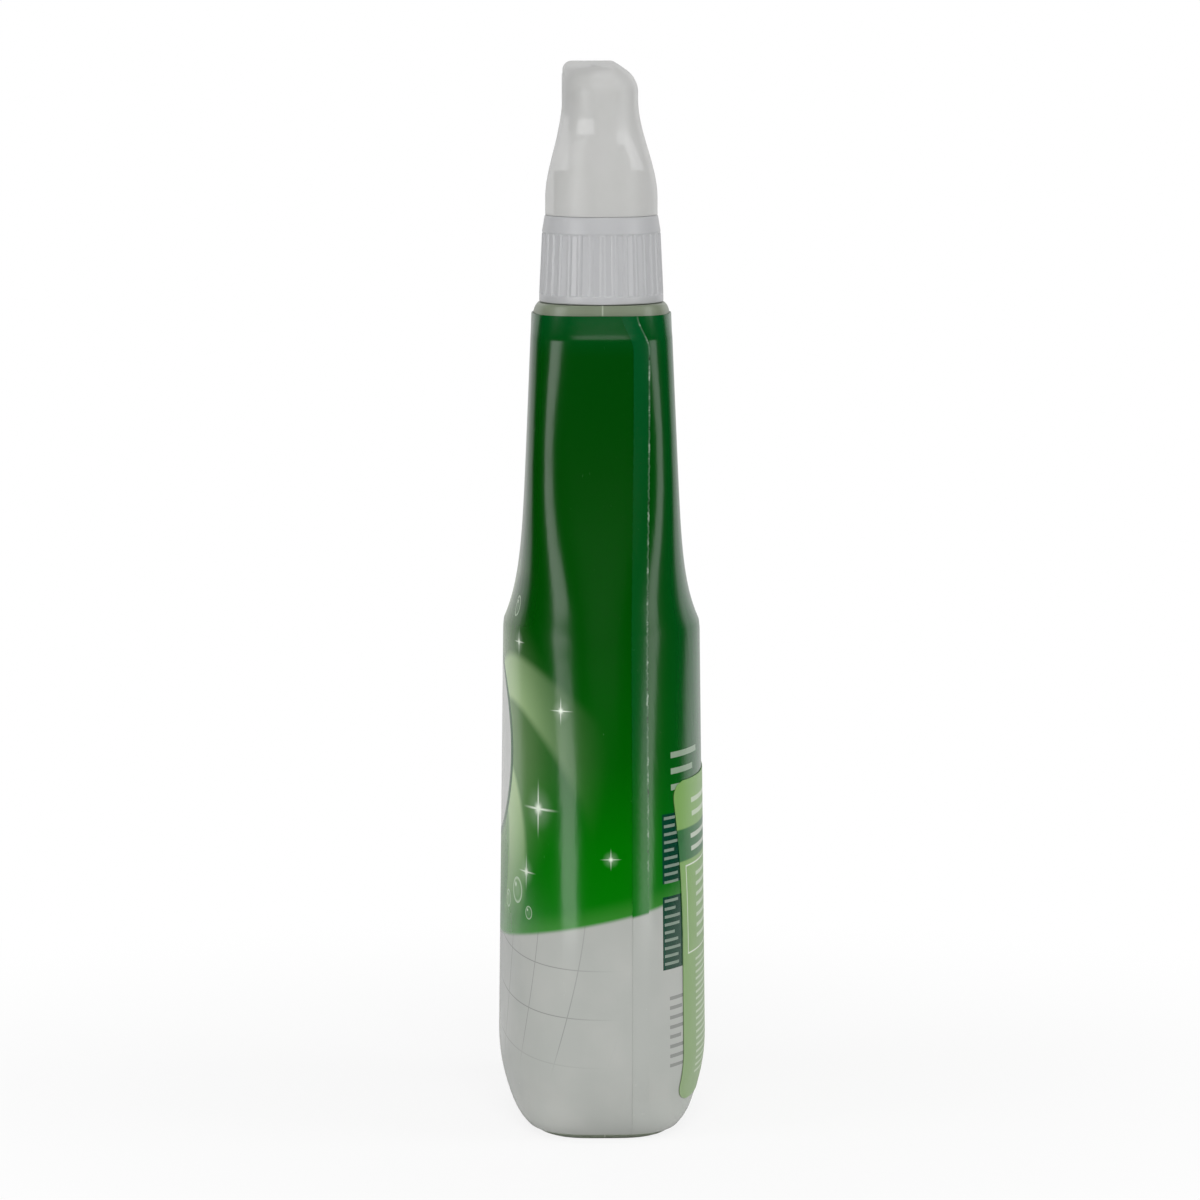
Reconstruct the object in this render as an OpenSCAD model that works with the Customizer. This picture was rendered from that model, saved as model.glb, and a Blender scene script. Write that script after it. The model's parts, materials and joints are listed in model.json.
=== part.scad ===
// Kitchen cleaner bottle with a trigger sprayer.
//
// A blown bottle stands in a printed shrink sleeve with one sticker on it. A ribbed collar screws
// the sprayer to the neck. Inside the shroud are the pump body with its cylinder and outlet barrel,
// a piston with its return spring, the trigger that pushes it, the inlet ball over the dip tube,
// and the valve, swirl insert, seal and turning cap of the nozzle.
//
// Origin: centre of the base, on the neck's axis. Z is up and the nozzle points towards -X.
// The sprayer's own pieces are drawn with the nozzle towards +X and turned round by sprayer().

/* [Bottle body] */
// Width of the lower body, from trigger side to rear
body_w = 104; // [92:1:112]
// Depth of the body just above the base rounding
body_d = 55.6; // [54:0.2:62]
// Depth of the body at the hip, where the grip begins
hip_d = 52.4; // [50:0.2:54]
// Height of the hip
hip_z = 134; // [120:1:138]
// Depth that the straight taper of the grip would reach at the hip
taper_d = 43.6; // [42:0.2:48]
// How suddenly the grip flares out to the hip
flare_power = 7.8; // [3:0.2:9]
// Depth at the shoulder
shoulder_d = 37; // [36:0.2:40]
// Width at the shoulder
shoulder_w = 37.6; // [36:0.2:40]
// Height of the shoulder, where the grip ends
shoulder_z = 216.5; // [206:0.5:220]
// How square the body's section is, where 2 is an ellipse
body_power = 2.3; // [2:0.1:3]
// How square the foot is
foot_power = 3.5; // [2.3:0.1:8]
// How square the middle of the grip is
grip_power = 4.3; // [3:0.1:5]
// How square the shoulder is
shoulder_power = 3.2; // [2.5:0.1:4]
// Height of the rounding at the foot
foot_h = 23; // [12:0.5:30]
// How far the rounding draws the foot in
foot_in = 11; // [5:0.1:12]
// Height at which the rear of the body has reached its full width
rear_full_z = 50; // [40:1:80]
// Height at which the trigger side has reached its full width
front_full_z = 106; // [90:1:114]
// Height at which the trigger side leaves the grip
front_grip_z = 194; // [180:1:200]
// Thickness of the blown wall
wall = 0.9; // [0.7:0.05:1.4]
// Rise of the middle of the base
push_up = 3; // [1.5:0.25:5]

/* [Neck and collar] */
// Radius of the neck at the root of its thread
neck_r = 12.4; // [12.2:0.05:12.6]
// Bore radius of the neck
neck_bore_r = 10.5; // [10.2:0.1:11]
// Length of the neck above the shoulder's top
neck_h = 19; // [18:0.5:22]
// Rise from the shoulder to the root of the neck
shoulder_rise = 3.8; // [3:0.1:5]
// Pitch of the neck's thread
thread_pitch = 4.233; // [3.2:0.001:5]
// Height of the thread's bead above the neck
thread_h = 1.2; // [0.8:0.05:1.3]
// Width of the bead at its root
thread_w = 2.3; // [1.8:0.1:2.4]
// Turns of thread on the neck
thread_turns = 1.5; // [1:0.25:1.75]
// Gap between the crest of one thread and the root of the other
thread_gap = 0.4; // [0.3:0.05:0.6]
// Radius of the collar at its foot
collar_r = 16.7; // [16.4:0.1:18]
// Radius of the collar's plain upper band
collar_top_r = 15.2; // [15:0.1:16.2]
// Height of the plain upper band
collar_band_h = 5; // [4:0.25:7]
// Height of the plain rim at the collar's foot
collar_rim_h = 1.4; // [1:0.1:2.5]
// Gap between the shoulder and the collar's foot
collar_gap = 0.8; // [0.5:0.1:1.5]
// Number of grip ribs
rib_count = 32; // [24:2:40]
// Radius of one rounded rib
rib_r = 1.1; // [0.8:0.05:1.4]
// How far a rib stands out
rib_out = 0.35; // [0.2:0.05:0.6]
// Thickness of the lip that traps the retainer
lip_t = 1.2; // [1:0.1:2]
// Clearance of pieces that slide or turn past each other
slide_gap = 0.15; // [0.1:0.05:0.25]

/* [Label] */
// Gap between the bottle and the sleeve
sleeve_gap = 0.05; // [0.03:0.01:0.1]
// Thickness of the sleeve's film
sleeve_t = 0.3; // [0.2:0.05:0.4]
// Height of the sleeve's lower edge
sleeve_foot_z = 1.8; // [1:0.1:4]
// Share of the shoulder's rise that the sleeve's upper edge covers
sleeve_over = 0.28; // [0.2:0.02:0.5]
// Width of the sticker
sticker_w = 76; // [50:1:80]
// Height of the sticker
sticker_h = 86; // [60:1:90]
// Height of the sticker's lower edge
sticker_z = 9; // [7:1:20]
// Corner radius of the sticker
sticker_r = 5; // [3:0.5:9]
// Thickness of the sticker
sticker_t = 0.15; // [0.1:0.05:0.3]

/* [Sprayer] */
// Turn of the sprayer on the neck, away from square
head_yaw = 3.3; // [-10:0.1:10]
// Thickness of the sealing gasket
gasket_t = 1.5; // [1:0.1:2]
// Thickness of the retainer's flange
flange_t = 1.6; // [1.2:0.1:2]
// Radius of the retainer's flange
flange_r = 13.4; // [13:0.05:13.5]
// Radius of the pump body's throat, inside the collar's lip
throat_r = 11.9; // [11.5:0.1:12]
// Radius of the retainer's plug inside the throat
plug_r = 8.8; // [8.4:0.1:9.2]
// Length of the retainer's spigot inside the neck
spigot_l = 6; // [4:0.5:9]
// Height of the drum of the pump body
drum_h = 11; // [8:0.5:12]
// Height of the cylinder's axis above the drum's foot
cyl_rise = 13; // [12:0.25:14]
// Bore radius of the pump cylinder
cyl_bore_r = 5.8; // [5.4:0.1:6]
// Wall of the pump cylinder
cyl_wall = 1.2; // [1:0.1:1.4]
// Front of the cylinder, from the neck's axis
cyl_front = 13; // [11:0.5:13.5]
// Inner end of the cylinder, behind the neck's axis
cyl_rear = 10; // [9.5:0.5:10.5]
// Height of the outlet barrel's axis above the cylinder's
barrel_rise = 17.5; // [17:0.25:18.5]
// Radius of the outlet barrel
barrel_r = 4.3; // [4:0.1:4.4]
// Bore radius of the outlet barrel
barrel_bore_r = 2.6; // [2.2:0.1:2.8]
// Front end of the outlet barrel
barrel_front = 43; // [42:0.5:46]
// Radius of the dip tube
tube_r = 2.5; // [2:0.1:2.6]
// Wall of the dip tube
tube_wall = 0.7; // [0.5:0.05:0.8]
// Distance of the dip tube behind the neck's axis
tube_x = 4.5; // [3:0.25:4.75]
// Gap between the dip tube's end and the bottle's floor
tube_foot_gap = 2.5; // [2:0.5:6]
// Radius of the inlet ball
ball_r = 1.9; // [1.8:0.05:2]
// Lift of the inlet ball
ball_lift = 1.1; // [0.8:0.1:1.2]

/* [Trigger and piston] */
// Pivot of the trigger, in front of the neck's axis
pivot_x = 24; // [23:0.5:25]
// Pivot of the trigger, below the barrel's axis
pivot_drop = 1; // [0.5:0.25:1.5]
// Radius of the two pivot stubs
stub_r = 2; // [1.6:0.1:2.2]
// Clearance of the trigger's holes on the stubs
pivot_gap = 0.1; // [0.05:0.05:0.2]
// Distance of the pusher's face behind the pivot
pusher_back = 2; // [1.5:0.25:2.5]
// Radius of the pusher's round nose
pusher_r = 3.2; // [2.8:0.1:3.4]
// Thickness of the trigger's arms
arm_t = 1.8; // [1.4:0.1:2]
// Gap between the barrel and an arm
arm_gap = 0.35; // [0.3:0.05:0.4]
// Thickness of the finger plate
plate_t = 2; // [1.6:0.1:2.6]
// Width of the finger plate
plate_w = 17; // [15:0.5:20]
// Depth of the trigger's channel at its deepest
channel_d = 6.5; // [5.5:0.25:7]
// Reach of the trigger's tip in front of the neck's axis
tip_x = 49; // [48:0.5:54]
// Height of the trigger's tip above the shoulder
tip_rise = 0.5; // [-1:0.5:6]
// Gap between the pusher and the piston at rest
pusher_gap = 0.15; // [0.1:0.05:0.2]
// Radius of the piston's stem
stem_r = 4.6; // [4.2:0.1:4.8]
// Wall of the piston's hollow stem
stem_wall = 1; // [0.8:0.1:1.2]
// Length of the piston's seal
seal_l = 4.5; // [3:0.5:5]
// Clearance of the seal in the cylinder
seal_gap = 0.1; // [0.05:0.05:0.15]
// Wire thickness of the return spring
wire = 0.7; // [0.5:0.05:0.9]
// Coils of the return spring
coils = 8; // [6:1:10]

/* [Nozzle and shroud] */
// Width of the square nozzle cap
cap_w = 14; // [13:0.5:16]
// Length of the nozzle cap
cap_l = 12; // [10:0.5:15]
// Corner radius of the nozzle cap
cap_corner = 2.5; // [1:0.25:4]
// Gap between the hood and the nozzle cap
cap_gap = 0.6; // [0.3:0.1:1]
// Radius of the spray hole
orifice_r = 0.35; // [0.3:0.05:0.6]
// Wall of the shroud
shroud_t = 1.1; // [0.9:0.1:1.3]
// Radius of the shroud's bell
bell_r = 15.1; // [14.9:0.1:16]
// Half width of the hood at its rear
hood_rear_w = 9.7; // [9:0.1:10.2]
// Half width of the hood at its front
hood_front_w = 7.7; // [7.6:0.1:8.5]
// Length of the hood in front of the neck's axis
hood_front = 38; // [37:0.5:40]
// Height of the shroud
shroud_h = 39.6; // [39:0.2:43]
// Rounding of the shroud's top edge at the rear
top_round = 7.4; // [4:0.2:8]
// Rounding of the hood's top edge at the front
front_round = 2.5; // [2:0.25:3.5]
// Gap between the collar and what turns above it
collar_top_gap = 0.5; // [0.4:0.1:1]

/* [Hidden] */
$fn = 96;
cut = 1;
sides = 48;
square_start_z = hip_z - 4;
square_z = 178;
foot_square_z = 12;

// Heights, stacked from the shoulder up
neck_root_z = shoulder_z + shoulder_rise;
rim_z = neck_root_z + neck_h;
flange_z = rim_z + gasket_t;
throat_z = flange_z + flange_t;
collar_foot_z = neck_root_z + collar_gap;
lip_z = throat_z + slide_gap;
collar_top_z = lip_z + lip_t;
drum_z = collar_top_z + collar_top_gap;
cyl_z = drum_z + cyl_rise;
barrel_z = cyl_z + barrel_rise;
pivot_z = barrel_z - pivot_drop;
shroud_top_z = drum_z + shroud_h;
tip_z = shoulder_z + tip_rise;

// The inlet ball's seat and cage, over a thin floor that stops the dip tube
seat_r = ball_r * 0.74;
ball_room = 0.4;
floor_t = 0.6;
tube_in = flange_t - floor_t;
seat_z = throat_z + floor_t;
ball_sit = sqrt(ball_r * ball_r - seat_r * seat_r);
plug_top_z = seat_z + ball_sit + ball_r + ball_lift + slide_gap;

// The thread: where its beads start, how deep they are rooted and how low their ends are
thread_start = 40;
thread_drop = 3.2;
neck_bead_z = rim_z - thread_pitch * thread_turns - thread_drop;
bead_root = 0.3;
bead_end = 0.4;
run_out = 8;

// The pusher and the piston
nose_drop = 0.5;
piston_front = pivot_x - pusher_back - pusher_gap;
spring_seat = 5.8;

// The trigger's side outline: its channel's rear edge starts in front of the pivot and bends to the tip
edge_x = pivot_x + 3.5;
edge_top_z = cyl_z + 6.5;
edge_low_z = cyl_z - 8;
tip_bend = [-13, -1];
depth_taper = 0.62;
eye_wall = 1.8;

// The finger plate: half width of its tip, and the heights where it rounds, narrows and ends
tip_half = 4.5;
tip_round = 6;
waist_z = cyl_z - 16;
waist_h = 12;
plate_top_z = cyl_z + 12;

// The nozzle's small pieces, along the barrel
insert_t = 1;
seal_w = 1.5;
seal_x = barrel_front - 3.5;
seal_in_r = barrel_r - 0.6;
valve_x = barrel_front - 9;
valve_l = 4.5;
valve_disc_t = 1.5;

// The shroud: its straight bell, the rise to the hood, and the arch of its foot in front
bell_h = 4;
hood_rise = 26.5;
rear_lean = 1.4;
squareness = 0.7;
front_corner = 1.6;
side_bow = 1;
foot_front_x = hood_front - 12;
foot_run = 18;
foot_front_z = drum_z + 21;
foot_drop = 19;
clip_t = 1.2;

// Levels closer than this become one ring
level_gap = 0.3;

// Rises from 0 to 1 with level ends
function ease(t) = let (s = min(1, max(0, t))) s * s * (3 - 2 * s);

// Places a piece on the neck: its own +X becomes the spray direction
module sprayer() {
    rotate([0, 0, 180 + head_yaw]) children();
}

// A tube about Z between two heights
module ring(z0, z1, r_out, r_in) {
    translate([0, 0, z0]) difference() {
        cylinder(h = z1 - z0, r = r_out);
        translate([0, 0, -cut]) cylinder(h = z1 - z0 + 2 * cut, r = r_in);
    }
}

// A cylinder along +X between two places
module rod_x(x0, x1, r) {
    translate([x0, 0, 0]) rotate([0, 90, 0]) cylinder(h = x1 - x0, r = r);
}

// A side outline, drawn in X and Z, between two places across the sprayer
module side_plate(y0, y1, outline) {
    translate([0, y1, 0]) rotate([90, 0, 0]) linear_extrude(y1 - y0) polygon(outline);
}

// Closed solid through rings of points, each ring with the same number of points, from the lowest up
module loft(rings) {
    n = len(rings[0]);
    m = len(rings);
    polyhedron(
        points = [for (r = rings) each r],
        faces = [
            [for (i = [0 : n - 1]) i],
            for (j = [0 : m - 2], i = [0 : n - 1]) each [
                [j * n + i, (j + 1) * n + i, (j + 1) * n + (i + 1) % n],
                [j * n + i, (j + 1) * n + (i + 1) % n, j * n + (i + 1) % n]
            ],
            [for (i = [n - 1 : -1 : 0]) (m - 1) * n + i]
        ]
    );
}

// Closed skin between rings that come back to where they start, as a sleeve's outside and inside do
module loop_loft(rings) {
    n = len(rings[0]);
    m = len(rings);
    polyhedron(
        points = [for (r = rings) each r],
        faces = [
            for (j = [0 : m - 1], i = [0 : n - 1]) let (
                a = j * n + i,
                b = j * n + (i + 1) % n,
                c = ((j + 1) % m) * n + i,
                d = ((j + 1) % m) * n + (i + 1) % n
            ) each (j < m / 2 ? [[a, c, d], [a, d, b]] : [[a, c, b], [c, d, b]])
        ]
    );
}

// The body's section at a height
function grip_t(z) = max(0, (shoulder_z - z) / (shoulder_z - hip_z));
function half_depth(z) = z >= hip_z
    ? shoulder_d / 2 + (taper_d - shoulder_d) / 2 * grip_t(z)
        + (hip_d - taper_d) / 2 * pow(grip_t(z), flare_power)
    : hip_d / 2 + (body_d - hip_d) / 2 * (hip_z - z) / hip_z;
function half_width(z, full_z, grip_z) =
    shoulder_w / 2 + (body_w - shoulder_w) / 2 * ease((grip_z - z) / (grip_z - full_z));
function half_width_at(x, z) = x >= 0
    ? half_width(z, rear_full_z, shoulder_z)
    : half_width(z, front_full_z, front_grip_z);
function foot_draw(z) = z < foot_h ? foot_in * (1 - sqrt(max(0, 1 - pow(1 - z / foot_h, 2)))) : 0;
function top_draw(z) = z > shoulder_z
    ? (shoulder_d / 2 - collar_r) * (1 - sqrt(max(0, 1 - pow((z - shoulder_z) / shoulder_rise, 2))))
    : 0;
// The section is a superellipse: nearly an ellipse at the body and nearly square at the grip
function section_power(z) = body_power
    + (foot_power - body_power) * ease(1 - z / foot_square_z)
    + (grip_power - body_power) * ease((z - square_start_z) / (square_z - square_start_z))
    - (grip_power - shoulder_power) * ease((z - square_z) / (shoulder_z - square_z));
function skin_r(dir, half_w, half_d, power) =
    pow(pow(abs(dir[0]) / half_w, power) + pow(abs(dir[1]) / half_d, power), -1 / power);
// One ring of the skin, grown by a distance along its normal, drawn at a height and scaled
function skin_ring(z, grow, at_z, scale = 1) = [for (i = [0 : sides - 1]) let (
    turn = 360 * i / sides,
    d = half_depth(z) - foot_draw(z),
    w = half_width_at(cos(turn), z) - foot_draw(z),
    raw = [w * cos(turn), d * sin(turn)],
    dir = raw / norm(raw),
    out = grow - top_draw(z),
    r = skin_r(dir, w + out, d + out, section_power(z)) * scale
) [r * dir[0], r * dir[1], at_z]];

// Heights of the rings, closer where the form turns
foot_heights = [for (j = [0 : 6]) foot_h * (1 - cos(90 * j / 6))];
lower_heights = [for (j = [1 : 8]) foot_h + (hip_z - foot_h) * j / 8];
grip_heights = [for (t = [0.96, 0.9, 0.82, 0.73, 0.63, 0.52, 0.41, 0.3, 0.2, 0.1, 0])
    shoulder_z - t * (shoulder_z - hip_z)];
top_heights = [for (s = [sleeve_over, 0.6, 0.87, 1]) shoulder_z + s * shoulder_rise];
body_heights = concat(foot_heights, lower_heights, grip_heights);

// Points of a bead that runs round the neck, as rings of four points
function bead_rings(z0, r_root, r_crest, steps = 48) = [for (j = [0 : steps]) let (
    f = j / steps,
    turn = 360 * thread_turns * f,
    rise = z0 + thread_pitch * thread_turns * f,
    end = min(1, min(f, 1 - f) * run_out),
    crest = r_root + (r_crest - r_root) * (bead_end + (1 - bead_end) * end),
    half = sign(r_root - r_crest) * thread_w / 2,
    tip = half * (1 - 0.5 * end)
) [for (p = [[r_root, -half], [crest, -tip], [crest, tip], [r_root, half]])
    [p[0] * cos(turn), p[0] * sin(turn), rise + p[1]]]];

module bottle() {
    foot_steps = [[0.08, 1], [0.45, 0.85], [0.72, 0.25], [0.8, 0]];
    color([0.82, 0.86, 0.72]) difference() {
        union() {
            loft(concat(
                [for (f = foot_steps) skin_ring(0, 0, push_up * f[1], f[0])],
                [for (z = concat(body_heights, top_heights)) skin_ring(z, 0, z)]
            ));
            translate([0, 0, shoulder_z]) cylinder(h = rim_z - shoulder_z, r = neck_r);
            rotate([0, 0, thread_start])
                loft(bead_rings(neck_bead_z, neck_r - bead_root, neck_r + thread_h));
        }
        loft(concat(
            [for (f = foot_steps) skin_ring(0, -wall, push_up * f[1] + wall, f[0])],
            [for (z = body_heights) skin_ring(z, -wall, max(wall, z))],
            [for (z = top_heights) skin_ring(z, -wall, z - wall * (z - shoulder_z) / shoulder_rise)]
        ));
        translate([0, 0, shoulder_z]) cylinder(h = rim_z - shoulder_z + cut, r = neck_bore_r);
    }
}

module label_sleeve() {
    rises = [for (z = body_heights) if (z > sleeve_foot_z + level_gap) z];
    heights = concat([sleeve_foot_z], rises, [top_heights[0]]);
    color([0.05, 0.42, 0.16]) loop_loft(concat(
        [for (z = heights) skin_ring(z, sleeve_gap + sleeve_t, z)],
        [for (j = [len(heights) - 1 : -1 : 0]) skin_ring(heights[j], sleeve_gap, heights[j])]
    ));
}

// Point of the back label's side at a place along X, grown by a distance
function side_point(x, z, grow) = let (
    d = half_depth(z) - foot_draw(z),
    w = half_width_at(x, z) - foot_draw(z),
    power = section_power(z)
) [x, (d + grow) * pow(1 - pow(abs(x) / (w + grow), power), 1 / power), z];

module back_sticker() {
    rows = [for (s = [0, 0.25, 0.5, 0.75, 1]) sticker_r * (1 - cos(90 * s))];
    middle = [for (z = body_heights)
        if (min(z - sticker_z, sticker_z + sticker_h - z) > sticker_r + level_gap) z - sticker_z];
    upper = [for (j = [len(rows) - 2 : -1 : 0]) sticker_h - rows[j]];
    heights = concat(rows, middle, upper);
    columns = 36;
    under = sleeve_t + 3 * sleeve_gap;
    function draw(h) = let (e = max(0, sticker_r - min(h, sticker_h - h)))
        sticker_r - sqrt(sticker_r * sticker_r - e * e);
    function row(h, grow, s) = [for (i = [0 : columns])
        side_point(s * (sticker_w / 2 - draw(h)) * (2 * i / columns - 1), sticker_z + h, grow)];
    color([0.62, 0.74, 0.55]) loft([for (h = heights)
        concat(row(h, under, -1), row(h, under + sticker_t, 1))]);
}

module collar() {
    hole_r = throat_r + slide_gap;
    bore_r = neck_r + thread_h + thread_gap;
    rib_foot_z = collar_foot_z + collar_rim_h;
    rib_top_z = collar_top_z - collar_band_h;
    skirt_r = collar_r - rib_out;
    waist_r = (collar_r + collar_top_r) / 2 - rib_out;
    tilt = atan((skirt_r - waist_r) / (rib_top_z - rib_foot_z));
    edge = 0.5;
    color([0.8, 0.81, 0.8]) union() {
        difference() {
            union() {
                rotate_extrude() polygon([
                    [0, collar_foot_z], [collar_r - edge / 2, collar_foot_z],
                    [collar_r, collar_foot_z + edge / 2], [collar_r, rib_foot_z],
                    [skirt_r, rib_foot_z + edge / 2], [waist_r, rib_top_z],
                    [waist_r + rib_out, rib_top_z + edge], [collar_top_r, collar_top_z - edge],
                    [collar_top_r - edge, collar_top_z], [0, collar_top_z]
                ]);
                for (i = [0 : rib_count - 1]) rotate([0, 0, 360 * i / rib_count])
                    translate([skirt_r + rib_out - rib_r, 0, rib_foot_z]) rotate([0, -tilt, 0])
                        cylinder(h = rib_top_z + edge - rib_foot_z, r = rib_r, $fn = 24);
            }
            translate([0, 0, collar_foot_z - cut]) cylinder(h = lip_z - collar_foot_z + cut, r = bore_r);
            translate([0, 0, lip_z - cut]) cylinder(h = lip_t + 2 * cut, r = hole_r);
        }
        rotate([0, 0, thread_start])
            loft(bead_rings(neck_bead_z - thread_pitch / 2, bore_r + bead_root, neck_r + thread_gap));
    }
}

module gasket() {
    color([0.93, 0.93, 0.9]) ring(rim_z, flange_z, flange_r - slide_gap, plug_r + slide_gap);
}

module tube_retainer() {
    retainer_wall = 1.2;
    color([0.9, 0.91, 0.88]) sprayer() difference() {
        union() {
            ring(flange_z, throat_z, flange_r, plug_r - retainer_wall - slide_gap);
            ring(flange_z - spigot_l, plug_top_z, plug_r, plug_r - retainer_wall);
            translate([-tube_x, 0, flange_z - spigot_l])
                cylinder(h = plug_top_z - flange_z + spigot_l, r = tube_r + retainer_wall);
            translate([0, 0, flange_z]) cylinder(h = flange_t, r = plug_r);
        }
        translate([-tube_x, 0, flange_z - spigot_l - cut])
            cylinder(h = spigot_l + tube_in + cut, r = tube_r);
        translate([-tube_x, 0, flange_z]) cylinder(h = plug_top_z - flange_z, r = seat_r);
        translate([-tube_x, 0, seat_z]) cylinder(h = plug_top_z - seat_z + cut, r = ball_r + ball_room);
    }
}

module dip_tube() {
    foot_z = push_up + wall + tube_foot_gap;
    color([0.92, 0.93, 0.9]) sprayer() translate([-tube_x, 0, 0])
        ring(foot_z, flange_z + tube_in, tube_r, tube_r - tube_wall);
}

module inlet_ball() {
    color([0.75, 0.76, 0.78]) sprayer() translate([-tube_x, 0, seat_z + ball_sit]) sphere(r = ball_r);
}

module pump_body() {
    drum_r = bell_half(drum_z + drum_h) - shroud_t - 2 * slide_gap;
    drum_wall = 1.4;
    cyl_r = cyl_bore_r + cyl_wall;
    barrel_rear = cyl_rear - barrel_r / 2;
    web_t = 2.4;
    port_r = 1.2;
    post_x = cyl_rear - port_r - cyl_wall / 2;
    stub_reach = barrel_r + arm_gap + arm_t + 2 * slide_gap;
    rear_rib_y = 4.7;
    rib_reach = drum_wall + 2 * slide_gap;
    color([0.86, 0.86, 0.78]) sprayer() difference() {
        union() {
            ring(throat_z, drum_z + cut, throat_r, plug_r + slide_gap);
            translate([0, 0, drum_z]) cylinder(h = drum_wall, r = drum_r);
            ring(drum_z, drum_z + drum_h, drum_r, drum_r - drum_wall);
            translate([0, 0, drum_z]) cylinder(h = plug_top_z + drum_wall - drum_z, r = plug_r + drum_wall);
            translate([-cyl_rear, -plug_r / 2, plug_top_z])
                cube([2 * cyl_rear, plug_r, cyl_z - plug_top_z]);
            translate([0, 0, cyl_z]) rod_x(-cyl_rear - drum_wall, cyl_front, cyl_r);
            translate([0, 0, barrel_z]) rod_x(-barrel_rear, barrel_front, barrel_r);
            translate([-barrel_rear, 0, barrel_z]) sphere(r = barrel_r);
            translate([-cyl_rear, -web_t / 2, cyl_z + cyl_bore_r])
                cube([2 * cyl_rear, web_t, barrel_rise - cyl_bore_r]);
            translate([-post_x, 0, cyl_z + cyl_bore_r])
                cylinder(h = barrel_rise - cyl_bore_r, r = 2 * port_r);
            for (y = [-rear_rib_y, rear_rib_y])
                translate([-cyl_rear - rib_reach, y - web_t / 4, drum_z + drum_wall])
                    cube([rib_reach + cut, web_t / 2, cyl_z + cyl_r - drum_z - 2 * drum_wall]);
            translate([pivot_x, stub_reach, pivot_z]) rotate([90, 0, 0])
                cylinder(h = 2 * stub_reach, r = stub_r);
        }
        translate([0, 0, throat_z - cut]) cylinder(h = plug_top_z - throat_z + cut, r = plug_r + slide_gap);
        translate([0, 0, cyl_z]) rod_x(-cyl_rear, cyl_front + cut, cyl_bore_r);
        translate([-tube_x, 0, plug_top_z - cut])
            cylinder(h = cyl_z - cyl_bore_r - plug_top_z + 2 * cut, r = port_r);
        translate([-post_x, 0, cyl_z + cyl_bore_r - cut])
            cylinder(h = barrel_rise - cyl_bore_r + cut, r = port_r);
        translate([0, 0, barrel_z]) rod_x(-post_x - port_r, barrel_front + cut, barrel_bore_r);
        translate([seal_x, 0, barrel_z]) difference() {
            rod_x(0, seal_w, barrel_r + cut);
            rod_x(-cut, seal_w + cut, seal_in_r);
        }
    }
}

module piston() {
    seal_in = 2;
    seal_front = cyl_front - seal_in;
    front_t = 2.5;
    lip_l = 1.2;
    color([0.93, 0.93, 0.91]) sprayer() translate([0, 0, cyl_z]) difference() {
        union() {
            rod_x(seal_front - seal_l, seal_front - seal_l + lip_l, cyl_bore_r - seal_gap);
            rod_x(seal_front - lip_l, seal_front, cyl_bore_r - seal_gap);
            rod_x(seal_front - seal_l, piston_front, stem_r);
        }
        rod_x(seal_front - seal_l - cut, piston_front - front_t, stem_r - stem_wall);
    }
}

// The return spring's wire: close coils at both ends and open ones between
module piston_spring() {
    length = piston_front - spring_seat + cyl_rear;
    coil_r = stem_r - stem_wall - wire / 2 - 2 * slide_gap;
    steps = 12;
    facets = 6;
    function along(turn) = wire / 2 + wire * min(1, turn) + wire * max(0, turn - coils + 1)
        + (length - 3 * wire) * min(1, max(0, (turn - 1) / (coils - 2)));
    color([0.7, 0.71, 0.72]) sprayer() translate([-cyl_rear, 0, cyl_z]) loft([
        for (j = [0 : coils * steps]) let (turn = j / steps, a = 360 * turn) [
            for (i = [0 : facets - 1]) let (b = 360 * i / facets, r = coil_r + wire / 2 * cos(b))
                [along(turn) - wire / 2 * sin(b), r * cos(a), r * sin(a)]
        ]
    ]);
}

// Rear edge of the trigger's channel, from the arms down to the tip
function trigger_edge(t) = let (
    p0 = [edge_x, edge_top_z],
    p1 = [edge_x, edge_low_z],
    p2 = [tip_x, (cyl_z + tip_z) / 2] + tip_bend,
    p3 = [tip_x, tip_z],
    s = 1 - t
) s * s * s * p0 + 3 * s * s * t * p1 + 3 * s * t * t * p2 + t * t * t * p3;
// Point in front of that edge, by a share of the channel's depth less a thickness
function trigger_front(t, less) = let (
    along = trigger_edge(min(1, t + 0.01)) - trigger_edge(max(0, t - 0.01)),
    n = [-along[1], along[0]] / norm(along),
    depth = channel_d * (1 - depth_taper * t)
) trigger_edge(t) + n * max(0, depth - less);

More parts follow.
